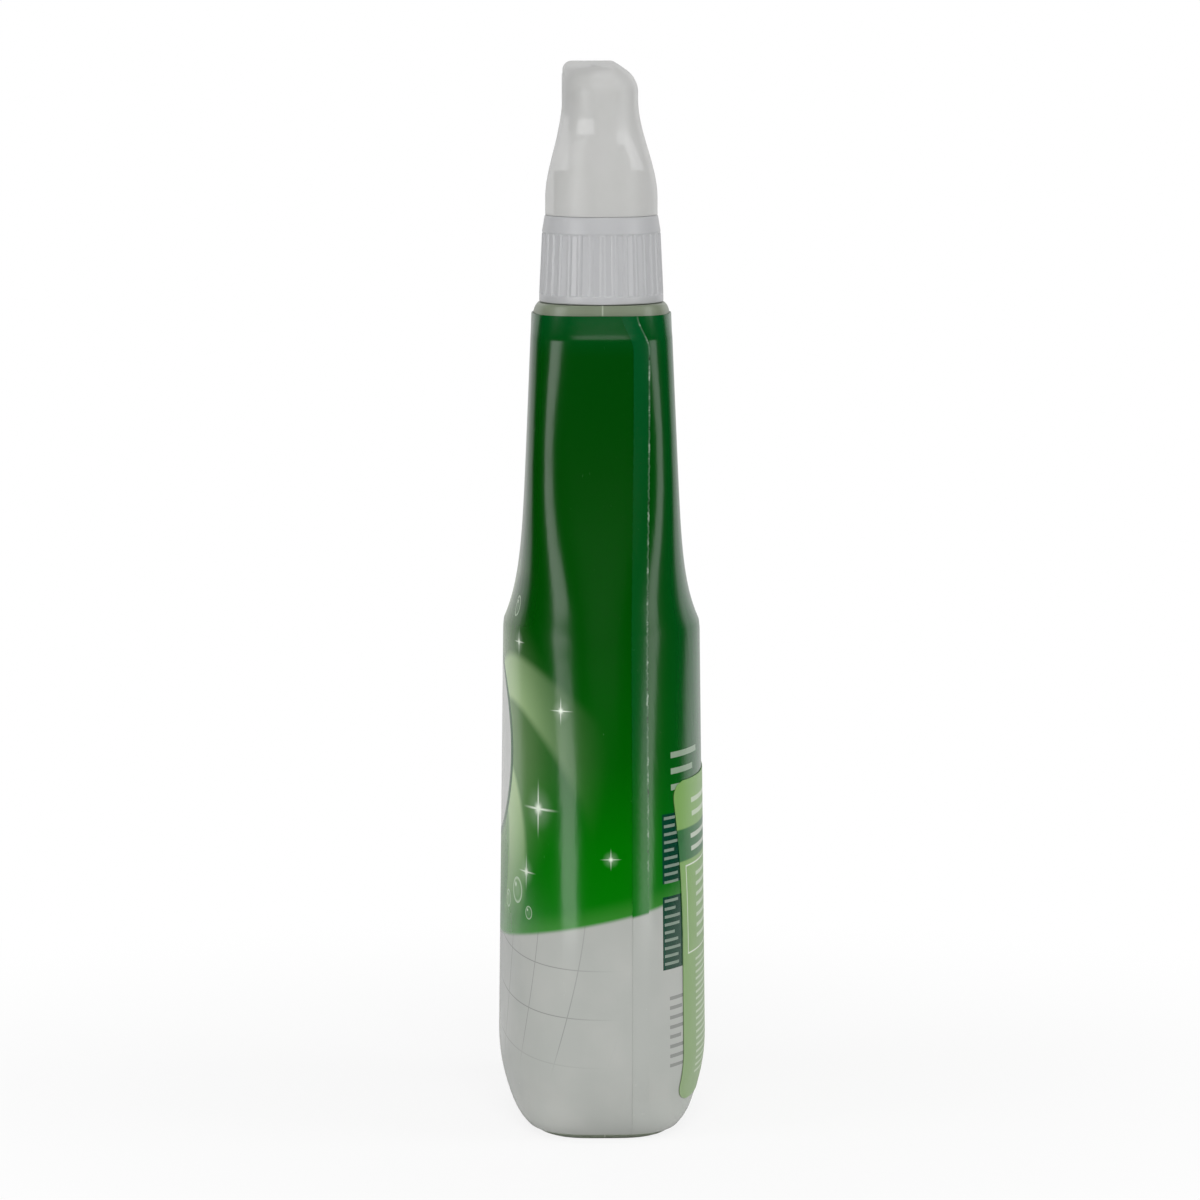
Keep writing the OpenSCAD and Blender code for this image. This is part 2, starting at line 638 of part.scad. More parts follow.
module trigger() {
    steps = 12;
    arm_y = barrel_r + arm_gap;
    eye_r = stub_r + pivot_gap + eye_wall;
    neck_t = 0.08;
    nose_x = pivot_x - pusher_back + pusher_r;
    front = [for (j = [steps : -1 : 0]) trigger_front(j / steps, 0)];
    flange = concat([for (j = [0 : steps]) trigger_edge(j / steps)], front);
    plate = concat([for (j = [0 : steps]) trigger_front(j / steps, plate_t)], front);
    arm = [[pivot_x - eye_r * 0.9, pivot_z - eye_r * 0.4], trigger_edge(0), trigger_edge(neck_t),
           trigger_front(neck_t, 0), trigger_front(0, 0), [pivot_x + eye_r, pivot_z],
           [pivot_x, pivot_z + eye_r * 0.5]];
    levels = [for (j = [0 : steps]) tip_z + (plate_top_z - tip_z) * j / steps];
    outline = concat(
        [for (j = [0 : steps]) [finger_half(levels[j]), levels[j]]],
        [for (j = [steps : -1 : 0]) [-finger_half(levels[j]), levels[j]]]
    );
    color([0.86, 0.87, 0.85]) sprayer() difference() {
        union() {
            for (y = [-arm_y - arm_t, arm_y]) {
                side_plate(y, y + arm_t, flange);
                side_plate(y, y + arm_t, arm);
                translate([pivot_x, y + arm_t, pivot_z]) rotate([90, 0, 0])
                    cylinder(h = arm_t, r = eye_r);
            }
            intersection() {
                side_plate(-plate_w / 2, plate_w / 2, plate);
                translate([pivot_x, 0, 0]) rotate([90, 0, 90]) linear_extrude(2 * tip_x) polygon(outline);
            }
            translate([nose_x, 0, cyl_z - nose_drop]) sphere(r = pusher_r);
            translate([0, 0, cyl_z - nose_drop])
                rod_x(nose_x, edge_x + channel_d - plate_t / 2, pusher_r * 0.8);
        }
        for (y = [-arm_y - arm_t - cut, arm_y - cut]) translate([pivot_x, y + arm_t + 2 * cut, pivot_z])
            rotate([90, 0, 0]) cylinder(h = arm_t + 2 * cut, r = stub_r + pivot_gap);
    }
}
// Half width of the finger plate at a height: narrow between the arms, wide below, round at the tip
function finger_half(z) = let (
    narrow = barrel_r + arm_gap + arm_t,
    wide = plate_w / 2,
    up = max(0, 1 - (z - tip_z) / tip_round)
) (wide + (narrow - wide) * ease((z - waist_z) / waist_h)) - (wide - tip_half) * (1 - sqrt(1 - up * up));

module outlet_valve() {
    color([0.85, 0.85, 0.8]) sprayer() translate([0, 0, barrel_z]) union() {
        rod_x(valve_x, valve_x + valve_disc_t, barrel_bore_r - seal_gap);
        rod_x(valve_x, valve_x + valve_l, barrel_bore_r / 2);
    }
}

module swirl_insert() {
    slot = 0.6;
    color([0.9, 0.9, 0.88]) sprayer() translate([0, 0, barrel_z]) difference() {
        union() {
            rod_x(valve_x + valve_l, barrel_front, barrel_bore_r - seal_gap);
            rod_x(barrel_front, barrel_front + insert_t, barrel_r - slide_gap);
        }
        rod_x(barrel_front + insert_t / 2, barrel_front + insert_t + cut, 2 * orifice_r + slot);
        for (a = [0, 90]) rotate([a, 0, 0]) translate([valve_x, -slot / 2, barrel_bore_r - slot - seal_gap])
            cube([barrel_front + insert_t + cut - valve_x, slot, barrel_r]);
    }
}

module nozzle_seal() {
    color([0.2, 0.2, 0.2]) sprayer() translate([0, 0, barrel_z]) difference() {
        rod_x(seal_x + seal_gap, seal_x + seal_w - seal_gap, barrel_r + slide_gap / 2);
        rod_x(seal_x - cut, seal_x + seal_w + cut, seal_in_r + seal_gap / 2);
    }
}

// A square bar along X with round corners
module cap_bar(x0, x1, width, corner) {
    flat = width / 2 - corner;
    translate([x0, 0, 0]) union() {
        translate([0, -width / 2, -flat]) cube([x1 - x0, width, 2 * flat]);
        translate([0, -flat, -width / 2]) cube([x1 - x0, 2 * flat, width]);
        for (y = [-flat, flat], z = [-flat, flat]) translate([0, y, z]) rod_x(0, x1 - x0, corner);
    }
}

module nozzle_cap() {
    cap_wall = 1.2;
    x0 = hood_front + cap_gap;
    x1 = x0 + cap_l;
    bore_end = barrel_front + insert_t + slide_gap;
    color([0.9, 0.9, 0.88]) sprayer() translate([0, 0, barrel_z]) difference() {
        cap_bar(x0, x1, cap_w, cap_corner);
        difference() {
            cap_bar(x0 - cut, bore_end, cap_w - 2 * cap_wall, cap_corner - cap_wall / 2);
            rod_x(x0 - cut, bore_end + cut, barrel_r + slide_gap + cap_wall);
        }
        rod_x(x0 - cut, bore_end, barrel_r + slide_gap);
        rod_x(x0, x1 + cut, orifice_r);
        rod_x(bore_end + cap_wall, x1 + cut, barrel_r - cap_wall / 2);
    }
}

// The shroud's section at a height, drawn in by a wall: round at the rear, tapering to the hood's front
function shroud_ring(z, in, top_z, front_x) = let (
    f = bell_f(z),
    rear_draw = round_draw(z, top_z, top_round - in),
    front_draw = round_draw(z, top_z, front_round - in / 2),
    rear_x = bell_r - rear_lean * f - in - rear_draw,
    rear_w = bell_half(z) - in - rear_draw,
    flank_w = hood_front_w + (bell_r - hood_front_w) * (1 - f) / 2 - in,
    front_w = min(rear_w + rear_draw, flank_w) - front_draw,
    power = 2 / (2 + squareness * f),
    corner = min(front_corner, front_w / 2),
    side = front_x - front_draw / 2 - corner
) concat(
    [for (j = [0 : 16]) let (a = 90 + 180 * j / 16)
        [-rear_x * pow(abs(cos(a)), power), sign(sin(a)) * rear_w * pow(abs(sin(a)), power), z]],
    [for (s = [0.25, 0.5, 0.75]) [side * s, -rear_w + (rear_w - front_w) * s - side_bow * s * (1 - s), z]],
    [for (a = [-90 : 30 : 0]) [side + corner * cos(a), -front_w + corner + corner * sin(a), z]],
    [for (a = [0 : 30 : 90]) [side + corner * cos(a), front_w - corner + corner * sin(a), z]],
    [for (s = [0.75, 0.5, 0.25]) [side * s, rear_w - (rear_w - front_w) * s + side_bow * s * (1 - s), z]]
);
function bell_f(z) = ease((z - drum_z - bell_h) / hood_rise);
function bell_half(z) = bell_r + (hood_rear_w - bell_r) * bell_f(z);
function round_draw(z, top_z, r) = let (e = max(0, z - top_z + r)) r - sqrt(max(0, r * r - e * e));

module shroud() {
    inner_top_z = shroud_top_z - shroud_t;
    rise = [for (j = [0 : 13]) drum_z + (shroud_h - top_round) * j / 14];
    function top_levels(top_z, r) = [for (s = [0, 0.2, 0.4, 0.6, 0.8, 0.93, 1]) top_z - r * cos(90 * s)];
    foot = [for (a = [0 : 15 : 90])
        [foot_front_x - foot_run * sin(a), foot_front_z - foot_drop * (1 - cos(a))]];
    color([0.86, 0.86, 0.84]) sprayer() union() {
        difference() {
            loft([for (z = concat(rise, top_levels(shroud_top_z, top_round))) if (z <= shroud_top_z)
                shroud_ring(z, 0, shroud_top_z, hood_front)]);
            loft([for (z = concat([drum_z - cut], rise, top_levels(inner_top_z, top_round - shroud_t)))
                if (z <= inner_top_z) shroud_ring(z, shroud_t, inner_top_z, hood_front + 2 * cut)]);
            side_plate(-2 * bell_r, 2 * bell_r, concat(
                [[hood_front + cut, foot_front_z + cut], [hood_front + cut, drum_z - cut],
                 [foot_front_x - foot_run, drum_z - cut]],
                [for (j = [len(foot) - 1 : -1 : 0]) foot[j]]
            ));
        }
        translate([-barrel_r, -clip_t / 2, barrel_z + barrel_r + slide_gap])
            cube([hood_front - barrel_r, clip_t, inner_top_z - barrel_z - barrel_r]);
    }
}

bottle();
label_sleeve();
back_sticker();
collar();
gasket();
tube_retainer();
dip_tube();
inlet_ball();
pump_body();
piston();
piston_spring();
trigger();
outlet_valve();
swirl_insert();
nozzle_seal();
nozzle_cap();
shroud();
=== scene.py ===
# %% [markdown]
# # A kitchen cleaner bottle with a trigger sprayer
#
# The bottle stands in a glossy printed shrink sleeve. A ribbed white collar holds a sprayer whose
# milky cover lets the pump body behind it show as soft shapes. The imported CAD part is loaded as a
# fixed frame, and each visible piece is dressed round it: what needs a smoother skin than the CAD
# solid is modelled again to the same sizes and stands for that solid, and the rest keeps its shape.

import json
import math

import bpy
import numpy as np
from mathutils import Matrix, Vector

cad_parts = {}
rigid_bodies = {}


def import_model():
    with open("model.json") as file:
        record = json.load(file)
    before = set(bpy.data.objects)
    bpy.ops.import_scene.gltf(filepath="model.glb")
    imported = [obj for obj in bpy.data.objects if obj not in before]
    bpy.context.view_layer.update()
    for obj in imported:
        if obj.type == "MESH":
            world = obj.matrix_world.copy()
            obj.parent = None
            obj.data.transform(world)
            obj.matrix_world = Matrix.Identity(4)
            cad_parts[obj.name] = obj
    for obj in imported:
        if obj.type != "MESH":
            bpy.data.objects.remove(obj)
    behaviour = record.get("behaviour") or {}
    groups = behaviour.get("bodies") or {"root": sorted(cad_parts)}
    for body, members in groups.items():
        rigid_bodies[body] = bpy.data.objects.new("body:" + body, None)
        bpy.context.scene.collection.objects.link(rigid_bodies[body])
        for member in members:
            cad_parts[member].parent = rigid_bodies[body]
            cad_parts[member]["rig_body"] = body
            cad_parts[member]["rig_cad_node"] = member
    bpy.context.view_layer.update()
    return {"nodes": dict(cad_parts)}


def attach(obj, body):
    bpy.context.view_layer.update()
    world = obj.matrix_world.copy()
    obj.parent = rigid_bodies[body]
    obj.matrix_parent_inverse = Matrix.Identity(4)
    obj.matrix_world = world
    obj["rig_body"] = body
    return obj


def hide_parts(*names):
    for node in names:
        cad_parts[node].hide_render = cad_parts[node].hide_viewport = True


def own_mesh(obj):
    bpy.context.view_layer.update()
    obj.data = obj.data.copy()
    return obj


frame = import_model()
nodes = frame["nodes"]
scene = bpy.context.scene
scene.view_settings.view_transform = "Standard"

# %% [markdown]
# ## The camera
#
# The photograph was taken from far away with a long lens, looking a little down at the sprayer's
# rear. The collar and the base show as ellipses, and how flat they are gives the camera's height.
# So the camera stands 1.6 m behind the bottle at 331 mm, turned 1.2 degrees round it, and its field
# of view is what makes the bottle as tall in the frame as it is in the photograph.

# %% Camera at the photograph's place
camera_far = 1.6
camera_height = 0.331
camera_turn = math.radians(1.2)
field_of_view = math.radians(11.506)
bpy.ops.object.camera_add(
    location=(camera_far * math.cos(camera_turn), -camera_far * math.sin(camera_turn), camera_height)
)
camera = bpy.context.object
camera.name = "photo_camera"
camera.data.sensor_width = 36
camera.data.lens = 18 / math.tan(field_of_view / 2)
across_view = Vector((math.sin(camera_turn), math.cos(camera_turn), 0))
aim = Vector((0, 0, 0.13947)) - across_view * 0.00035
camera.rotation_mode = "QUATERNION"
camera.rotation_quaternion = (aim - camera.location).to_track_quat("-Z", "Y")
scene.camera = camera
print("camera lens", round(camera.data.lens, 1), "mm")

# %% [markdown]
# ## The sizes behind the shapes
#
# A blown bottle like this one has no simple section: it is a superellipse, nearly an ellipse at the
# body and nearly square at the grip, and its width and depth change with height too. The shape of
# the highlights in the photograph tells how square it is. The same few formulas as in the CAD source
# give the skin at any height, so a finer mesh lies where the solid is. Only the shoulder's last 7 mm
# lean in a little further at the rear and the trigger side, which the plain solid leaves out.
# All sizes here are in millimetres, and a piece is scaled to metres when it is placed.

# %% The body's section at any height
body_w, body_d, hip_d, hip_z = 104.0, 55.6, 52.4, 134.0
taper_d, flare_power = 43.6, 7.8
shoulder_d, shoulder_w, shoulder_z, shoulder_rise = 37.0, 37.6, 216.5, 3.8
foot_h, foot_in = 23.0, 11.0
rear_full_z, front_full_z, front_grip_z = 50.0, 106.0, 194.0
body_power, foot_power, grip_power, shoulder_power = 2.3, 3.5, 4.3, 3.2
foot_square_z, square_start_z, square_z = 12.0, hip_z - 4, 178.0
wall, push_up = 0.9, 3.0
collar_r, collar_top_r = 16.7, 15.2
sleeve_gap, sleeve_t, sleeve_foot_z, sleeve_over = 0.05, 0.3, 1.8, 0.28
sleeve_top_z = shoulder_z + sleeve_over * shoulder_rise


def ease(t):
    t = np.clip(t, 0, 1)
    return t * t * (3 - 2 * t)


def half_depth(z):
    t = np.clip((shoulder_z - z) / (shoulder_z - hip_z), 0, None)
    grip = shoulder_d / 2 + (taper_d - shoulder_d) / 2 * t + (hip_d - taper_d) / 2 * t**flare_power
    return np.where(z >= hip_z, grip, hip_d / 2 + (body_d - hip_d) / 2 * (hip_z - z) / hip_z)


def half_width(x, z):
    """Half the width on the rear side, where x is positive, or on the trigger side."""
    rear = ease((shoulder_z - z) / (shoulder_z - rear_full_z))
    front = ease((front_grip_z - z) / (front_grip_z - front_full_z))
    return shoulder_w / 2 + (body_w - shoulder_w) / 2 * np.where(x >= 0, rear, front)


def section_power(z):
    power = body_power + (foot_power - body_power) * ease(1 - z / foot_square_z)
    power = power + (grip_power - body_power) * ease((z - square_start_z) / (square_z - square_start_z))
    return power - (grip_power - shoulder_power) * ease((z - square_z) / (shoulder_z - square_z))


def foot_draw(z):
    share = np.clip(1 - z / foot_h, 0, 1)
    return foot_in * (1 - np.sqrt(1 - share**2))


def top_draw(z):
    share = np.clip((z - shoulder_z) / shoulder_rise, 0, 1)
    return (shoulder_d / 2 - collar_r + 0.1) * (1 - np.sqrt(1 - share**2))


def rear_draw(z):
    """How far the shoulder leans in at the front and the rear, which ends the tall highlights there."""
    e = np.clip(z - 210.6, 0, 6.9)
    return 0.28 * np.where(e < 1.2, e * e / 2.4, e - 0.6) + 0.12 * ease((z - 210.8) / 1.8)


def skin(turn, z, grow=0.0, scale=1.0):
    """Points of the body's skin at angles and heights, moved out by grow, as x and y."""
    depth = half_depth(z) - foot_draw(z)
    width = half_width(np.cos(turn), z) - foot_draw(z)
    raw = np.stack([width * np.cos(turn), depth * np.sin(turn)], -1)
    way = raw / np.linalg.norm(raw, axis=-1, keepdims=True)
    lean = np.clip(rear_draw(z) - top_draw(z), 0, None) * np.abs(way[..., 0])
    out, power = grow - top_draw(z) - lean, section_power(z)
    across, along = np.abs(way[..., 0]) / (width + out), np.abs(way[..., 1]) / (depth + out)
    return way * ((across**power + along**power) ** (-1 / power) * scale)[..., None]


hip_points = skin(np.array([0.0, np.pi / 2]), np.array([hip_z] * 2))
print("half width and depth at the hip:", hip_points.round(2).tolist())

# %% [markdown]
# ## A sheet that takes a shape
#
# Almost every skin here starts as a flat grid, as the sleeve does before it is rolled round the
# bottle. The grid's rows and columns are laid on the formula, its long edges are merged where they
# meet, and a Solidify modifier gives it its wall. Because the grid is regular, the mesh stays even
# and takes a smooth highlight.

# %% Helpers for sheets and walls
MM = 0.001


def deselect():
    if bpy.context.object and bpy.context.object.mode != "OBJECT":
        bpy.ops.object.mode_set(mode="OBJECT")
    bpy.ops.object.select_all(action="DESELECT")


def pick(piece):
    deselect()
    piece.select_set(True)
    bpy.context.view_layer.objects.active = piece


def laid_sheet(name, across, up, place, flat_size=None):
    """A grid of across by up faces, laid at place(s, t), with its flat size kept as its UV map."""
    deselect()
    bpy.ops.mesh.primitive_grid_add(x_subdivisions=across, y_subdivisions=up, size=1)
    piece = bpy.context.object
    piece.name = piece.data.name = name
    flat = np.array([v.co for v in piece.data.vertices])[:, :2] + 0.5
    laid = np.asarray(place(flat[:, 0], flat[:, 1])) * MM
    corner = np.zeros(len(piece.data.loops), np.int32)
    piece.data.loops.foreach_get("vertex_index", corner)
    printed = flat if flat_size is None else np.asarray(flat_size(flat[:, 0], flat[:, 1])) * MM
    piece.data.uv_layers[0].name = "flat"
    piece.data.uv_layers[0].data.foreach_set("uv", printed[corner].astype(np.float32).ravel())
    piece.data.vertices.foreach_set("co", laid.astype(np.float32).ravel())
    piece.data.update()
    return piece


def merge_edges(piece):
    pick(piece)
    bpy.ops.object.mode_set(mode="EDIT")
    bpy.ops.mesh.select_all(action="SELECT")
    bpy.ops.mesh.remove_doubles(threshold=2e-6)
    bpy.ops.mesh.normals_make_consistent(inside=False)
    bpy.ops.object.mode_set(mode="OBJECT")
    return piece


def give_wall(piece, thickness, offset=-1.0):
    pick(piece)
    modifier = piece.modifiers.new("wall", "SOLIDIFY")
    modifier.thickness = thickness * MM
    modifier.offset = offset
    modifier.use_even_offset = True
    bpy.ops.object.modifier_apply(modifier=modifier.name)
    return piece


def smooth(piece, angle=35):
    pick(piece)
    bpy.ops.object.shade_smooth_by_angle(angle=math.radians(angle))
    return piece


def soften_edges(piece, width, angle=35):
    pick(piece)
    modifier = piece.modifiers.new("edges", "BEVEL")
    modifier.width = width * MM
    modifier.segments = 2
    modifier.limit_method = "ANGLE"
    modifier.angle_limit = math.radians(angle)
    bpy.ops.object.modifier_apply(modifier=modifier.name)
    return piece


def seat(piece, body, slot, *stands_for):
    """Ties a finished piece to its CAD body and hides the nodes that it stands for. The slot is not used."""
    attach(piece, body)
    if stands_for:
        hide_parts(*stands_for)
    print(piece.name, "->", body, len(piece.data.polygons), "faces")
    return piece


# %% [markdown]
# ## Node recipes
#
# A material is a small program. This helper adds its nodes one line at a time, so a recipe reads
# from top to bottom, and the same helper fills the shared node groups.

# %% Helper that wires nodes together
class Recipe:
    def __init__(self, tree):
        self.tree = tree

    def put(self, socket, value):
        if isinstance(value, bpy.types.NodeSocket):
            self.tree.links.new(value, socket)
        elif value is not None:
            if socket.type == "RGBA" and len(value) == 3:
                value = (*value, 1)
            socket.default_value = value

    def node(self, kind, settings=None, **inputs):
        made = self.tree.nodes.new(kind)
        for name, value in (settings or {}).items():
            setattr(made, name, value)
        for name, value in inputs.items():
            self.put(made.inputs[name.replace("_", " ")], value)
        return made

    def math(self, operation, *values, clamp=False):
        made = self.node("ShaderNodeMath", {"operation": operation, "use_clamp": clamp})
        for socket, value in zip(made.inputs, values):
            self.put(socket, value)
        return made.outputs[0]

    def times(self, a, b):
        return self.math("MULTIPLY", a, b)

    def plus(self, a, b, clamp=False):
        return self.math("ADD", a, b, clamp=clamp)

    def minus(self, a, b):
        return self.math("SUBTRACT", a, b)

    def over(self, a, b):
        return self.math("DIVIDE", a, b)

    def far(self, u, v):
        """How far a point lies from the origin of its own flat coordinates."""
        return self.math("SQRT", self.plus(self.times(u, u), self.times(v, v)))

    def step(self, value, low, high, to_low=0.0, to_high=1.0):
        made = self.node("ShaderNodeMapRange", {"interpolation_type": "SMOOTHSTEP"})
        ends = {"Value": value, "From Min": low, "From Max": high, "To Min": to_low, "To Max": to_high}
        for name, given in ends.items():
            self.put(made.inputs[name], given)
        return made.outputs["Result"]

    def blend(self, share, a, b):
        made = self.node("ShaderNodeMix", {"data_type": "RGBA"})
        self.put(made.inputs[0], share)
        self.put(made.inputs[6], a)
        self.put(made.inputs[7], b)
        return made.outputs[2]

    def split(self, vector):
        made = self.node("ShaderNodeSeparateXYZ", Vector=vector)
        return made.outputs[0], made.outputs[1], made.outputs[2]

    def join(self, x=0.0, y=0.0, z=0.0):
        return self.node("ShaderNodeCombineXYZ", X=x, Y=y, Z=z).outputs[0]

    def noise(self, vector, scale, detail=2.0, roughness=0.5):
        made = self.node("ShaderNodeTexNoise", Vector=vector, Scale=scale, Detail=detail, Roughness=roughness)
        return made.outputs[0]

    def stretch(self, vector, scale):
        return self.node("ShaderNodeMapping", Vector=vector, Scale=scale).outputs[0]

    def place(self):
        return self.node("ShaderNodeTexCoord").outputs["Object"]

    def flat_map(self):
        return self.node("ShaderNodeUVMap", {"uv_map": "flat"}).outputs[0]

    def ramp(self, share, stops):
        made = self.node("ShaderNodeValToRGB")
        self.put(made.inputs[0], share)
        while len(made.color_ramp.elements) < len(stops):
            made.color_ramp.elements.new(0.5)
        for element, (position, colour) in zip(made.color_ramp.elements, stops):
            element.position = position
            element.color = (*colour, 1)
        return made.outputs[0]

    def use(self, group, **inputs):
        return self.node("ShaderNodeGroup", {"node_tree": group}, **inputs).outputs

    def emboss(self, surface, height, strength, distance=0.0004):
        raised = self.node("ShaderNodeBump", Strength=strength, Distance=distance, Height=height)
        self.put(surface.inputs["Normal"], raised.outputs[0])


def shared_group(name, inputs, outputs):
    """A node group with named sockets, and a recipe that fills it."""
    tree = bpy.data.node_groups.new(name, "ShaderNodeTree")
    for direction, sockets in (("INPUT", inputs), ("OUTPUT", outputs)):
        for label, (kind, value) in sockets.items():
            socket = tree.interface.new_socket(label, in_out=direction, socket_type="NodeSocket" + kind)
            if value is not None:
                socket.default_value = value
    recipe = Recipe(tree)
    return recipe, recipe.node("NodeGroupInput"), recipe.node("NodeGroupOutput")


def new_material(name):
    material = bpy.data.materials.new(name)
    material.use_nodes = True
    tree = material.node_tree
    tree.nodes.clear()
    recipe = Recipe(tree)
    surface = recipe.node("ShaderNodeBsdfPrincipled")
    recipe.put(recipe.node("ShaderNodeOutputMaterial").inputs["Surface"], surface.outputs[0])
    return material, recipe, surface


def dress(piece, material):
    piece.data.materials.clear()
    piece.data.materials.append(material)


# %% [markdown]
# ## Moulded plastic
#
# Injection-moulded polypropylene is never one flat colour: the wall's thickness makes it cloudy, the
# mould leaves a fine grain, and handling leaves faint rubs. One group gives that cloudiness, the
# roughness and the grain's height, and each plastic piece uses it with its own values.

# %% Shared group: grain and cloudiness of moulded plastic
grain, taken, given = shared_group(
    "moulded_grain",
    {
        "Place": ("Vector", None),
        "Cloud": ("Float", 0.05),
        "Roughness": ("Float", 0.35),
        "Grain size": ("Float", 1200.0),
        "Colour": ("Color", (0.8, 0.8, 0.8, 1)),
        "Tint": ("Color", (0.7, 0.7, 0.66, 1)),
    },
    {"Colour": ("Color", None), "Roughness": ("Float", None), "Height": ("Float", None)},
)
cloud = grain.noise(taken.outputs["Place"], 90.0, 3.0, 0.55)
cloud_share = grain.times(grain.step(cloud, 0.3, 0.75), taken.outputs["Cloud"])
rub = grain.step(grain.noise(taken.outputs["Place"], 420.0, 4.0, 0.6), 0.45, 0.8)
fine = grain.noise(taken.outputs["Place"], taken.outputs["Grain size"], 1.0)
grain.put(given.inputs["Colour"], grain.blend(cloud_share, taken.outputs["Colour"], taken.outputs["Tint"]))
rough = grain.plus(taken.outputs["Roughness"], grain.times(rub, 0.06))
grain.put(given.inputs["Roughness"], rough)
grain.put(given.inputs["Height"], grain.plus(grain.times(fine, 0.08), grain.times(cloud, 0.92)))


def plastic(name, colour, tint, roughness=0.35, cloud=0.35, bump=0.004, **shader):
    """A moulded plastic: its colour, its tint in thick places, its gloss, and values for the shader."""
    material, recipe, surface = new_material(name)
    look = recipe.use(
        grain.tree, Place=recipe.place(), Cloud=cloud, Roughness=roughness, Colour=colour, Tint=tint
    )
    recipe.put(surface.inputs["Base Color"], look["Colour"])
    recipe.put(surface.inputs["Roughness"], look["Roughness"])
    recipe.emboss(surface, look["Height"], bump)
    for label, value in shader.items():
        recipe.put(surface.inputs[label.replace("_", " ")], value)
    return material


white_plastic = plastic("white_collar_plastic", (0.485, 0.49, 0.50), (0.47, 0.475, 0.485), 0.3, 0.1, 0.004)
trigger_plastic = plastic("white_trigger_plastic", (0.66, 0.665, 0.66), (0.64, 0.645, 0.635), 0.3, 0.1, 0.004)
housing_plastic = plastic("natural_housing_plastic", (0.74, 0.75, 0.66), (0.70, 0.71, 0.62), 0.35, 0.3, 0.004)
milky_plastic = plastic(
    "milky_shroud_plastic", (0.69, 0.69, 0.68), (0.65, 0.655, 0.635), 0.3, 0.5, 0.004,
    Alpha=0.68, IOR=1.4,
)
natural_plastic = plastic(
    "natural_bottle_plastic", (0.25, 0.29, 0.21), (0.21, 0.25, 0.17), 0.30, 0.5, 0.01,
    Transmission_Weight=0.15, IOR=1.5,
)
tube_plastic = plastic(
    "natural_tube_plastic", (0.7, 0.71, 0.68), (0.62, 0.63, 0.6), 0.35, 0.4,
    Transmission_Weight=0.3,
)
seal_rubber = plastic("black_seal_rubber", (0.02, 0.02, 0.02), (0.03, 0.03, 0.03), 0.6, 0.3)
soft_rubber = plastic("white_seal_rubber", (0.66, 0.66, 0.62), (0.6, 0.6, 0.55), 0.55, 0.4)
bright_steel = plastic("bright_spring_steel", (0.62, 0.63, 0.65), (0.5, 0.51, 0.53), 0.22, 0.4, Metallic=1.0)
print("plastics and steel:", [m.name for m in bpy.data.materials])

# %% [markdown]
# ## The printed sleeve
#
# The label is a tube of film, printed flat, slipped over the bottle and shrunk with heat until it
# fits the grip and the hip alike. So it is laid here as a flat sheet too. Its columns crowd where
# the rear turns into the wide side, because that bend carries the brightest highlight.
# The sheet's own flat size stays with it as a UV map in metres, and the print is drawn in that.

# %% Angles round the bottle, closer at its corners
def crowded_angles(count):
    """Angles from the trigger side round by the front label, the rear panel and the back label."""
    fine_angles = np.linspace(-np.pi, np.pi, 7201)
    corner = np.radians(32)
    off = np.minimum(np.abs(np.abs(fine_angles) - corner), np.abs(np.pi - np.abs(fine_angles) - corner))
    weight = 1 + 1.2 * np.exp(-((off / np.radians(16)) ** 2))
    total = np.concatenate([[0], np.cumsum((weight[1:] + weight[:-1]) / 2)])
    return np.interp(np.linspace(0, total[-1], count + 1), total, fine_angles)


sleeve_columns, sleeve_rows = 224, 131
column_angles = crowded_angles(sleeve_columns)
flat_ring = skin(column_angles, np.full(len(column_angles), 60.0), sleeve_gap + sleeve_t)
flat_steps = np.concatenate([[0], np.cumsum(np.linalg.norm(np.diff(flat_ring, axis=0), axis=1))])
flat_u = flat_steps - flat_steps[-1] / 2
print("the film is", round(flat_steps[-1], 1), "mm round when flat")

# %% The sleeve itself
def levels(*runs):
    """Heights from run to run, each run given as its start, its end and its count."""
    return np.concatenate([np.linspace(*runs[0])] + [np.linspace(*run)[1:] for run in runs[1:]])


sleeve_levels = levels((sleeve_foot_z, 24, 16), (24, 208, 96), (208, sleeve_top_z, 22))


def at_column(s):
    return np.rint(s * sleeve_columns).astype(int)


def at_row(t):
    return np.rint(t * sleeve_rows).astype(int)


def lay_sleeve(s, t):
    z = sleeve_levels[at_row(t)]
    around = skin(column_angles[at_column(s)], z, sleeve_gap + sleeve_t)
    return np.column_stack([around, z])


sleeve = laid_sheet(
    "shrink_sleeve", sleeve_columns, sleeve_rows, lay_sleeve,
    lambda s, t: np.column_stack([flat_u[at_column(s)], sleeve_levels[at_row(t)]]),
)
merge_edges(sleeve)
give_wall(sleeve, sleeve_t)
smooth(sleeve, 50)
seat(sleeve, "bottle", "label_sleeve", "label_sleeve")

# %% [markdown]
# ## Where the film overlaps
#
# The flat film becomes a tube by gluing one edge over the other, and that overlap runs down the
# rear panel's right corner. It is a second layer, a tenth of a millimetre thick, with a slightly
# uneven edge, and it bends aside at the top where the sleeve was pulled round the shoulder.

# %% The overlap strip
overlap_w, overlap_t = 4.4, 0.09
strip_columns, strip_rows = 12, 300
strip_levels = np.linspace(sleeve_foot_z + 0.2, sleeve_top_z - 0.05, strip_rows + 1)
fine_turn = np.radians(np.linspace(-5, 62, 400))


def overlap_edge(z):
    """How far the glued edge lies from the panel's middle, at a height."""
    ripple = 0.10 * np.sin(z * 1.9) * np.sin(z * 0.41 + 1) + 0.07 * np.sin(z * 4.3 + 2)
    bend = 1.0 * ease((z - 120) / 80) - 3.2 * ease((z - 208.5) / 9.5)
    return 11.6 + bend + ripple * ease((212 - z) / 60 + 0.15)


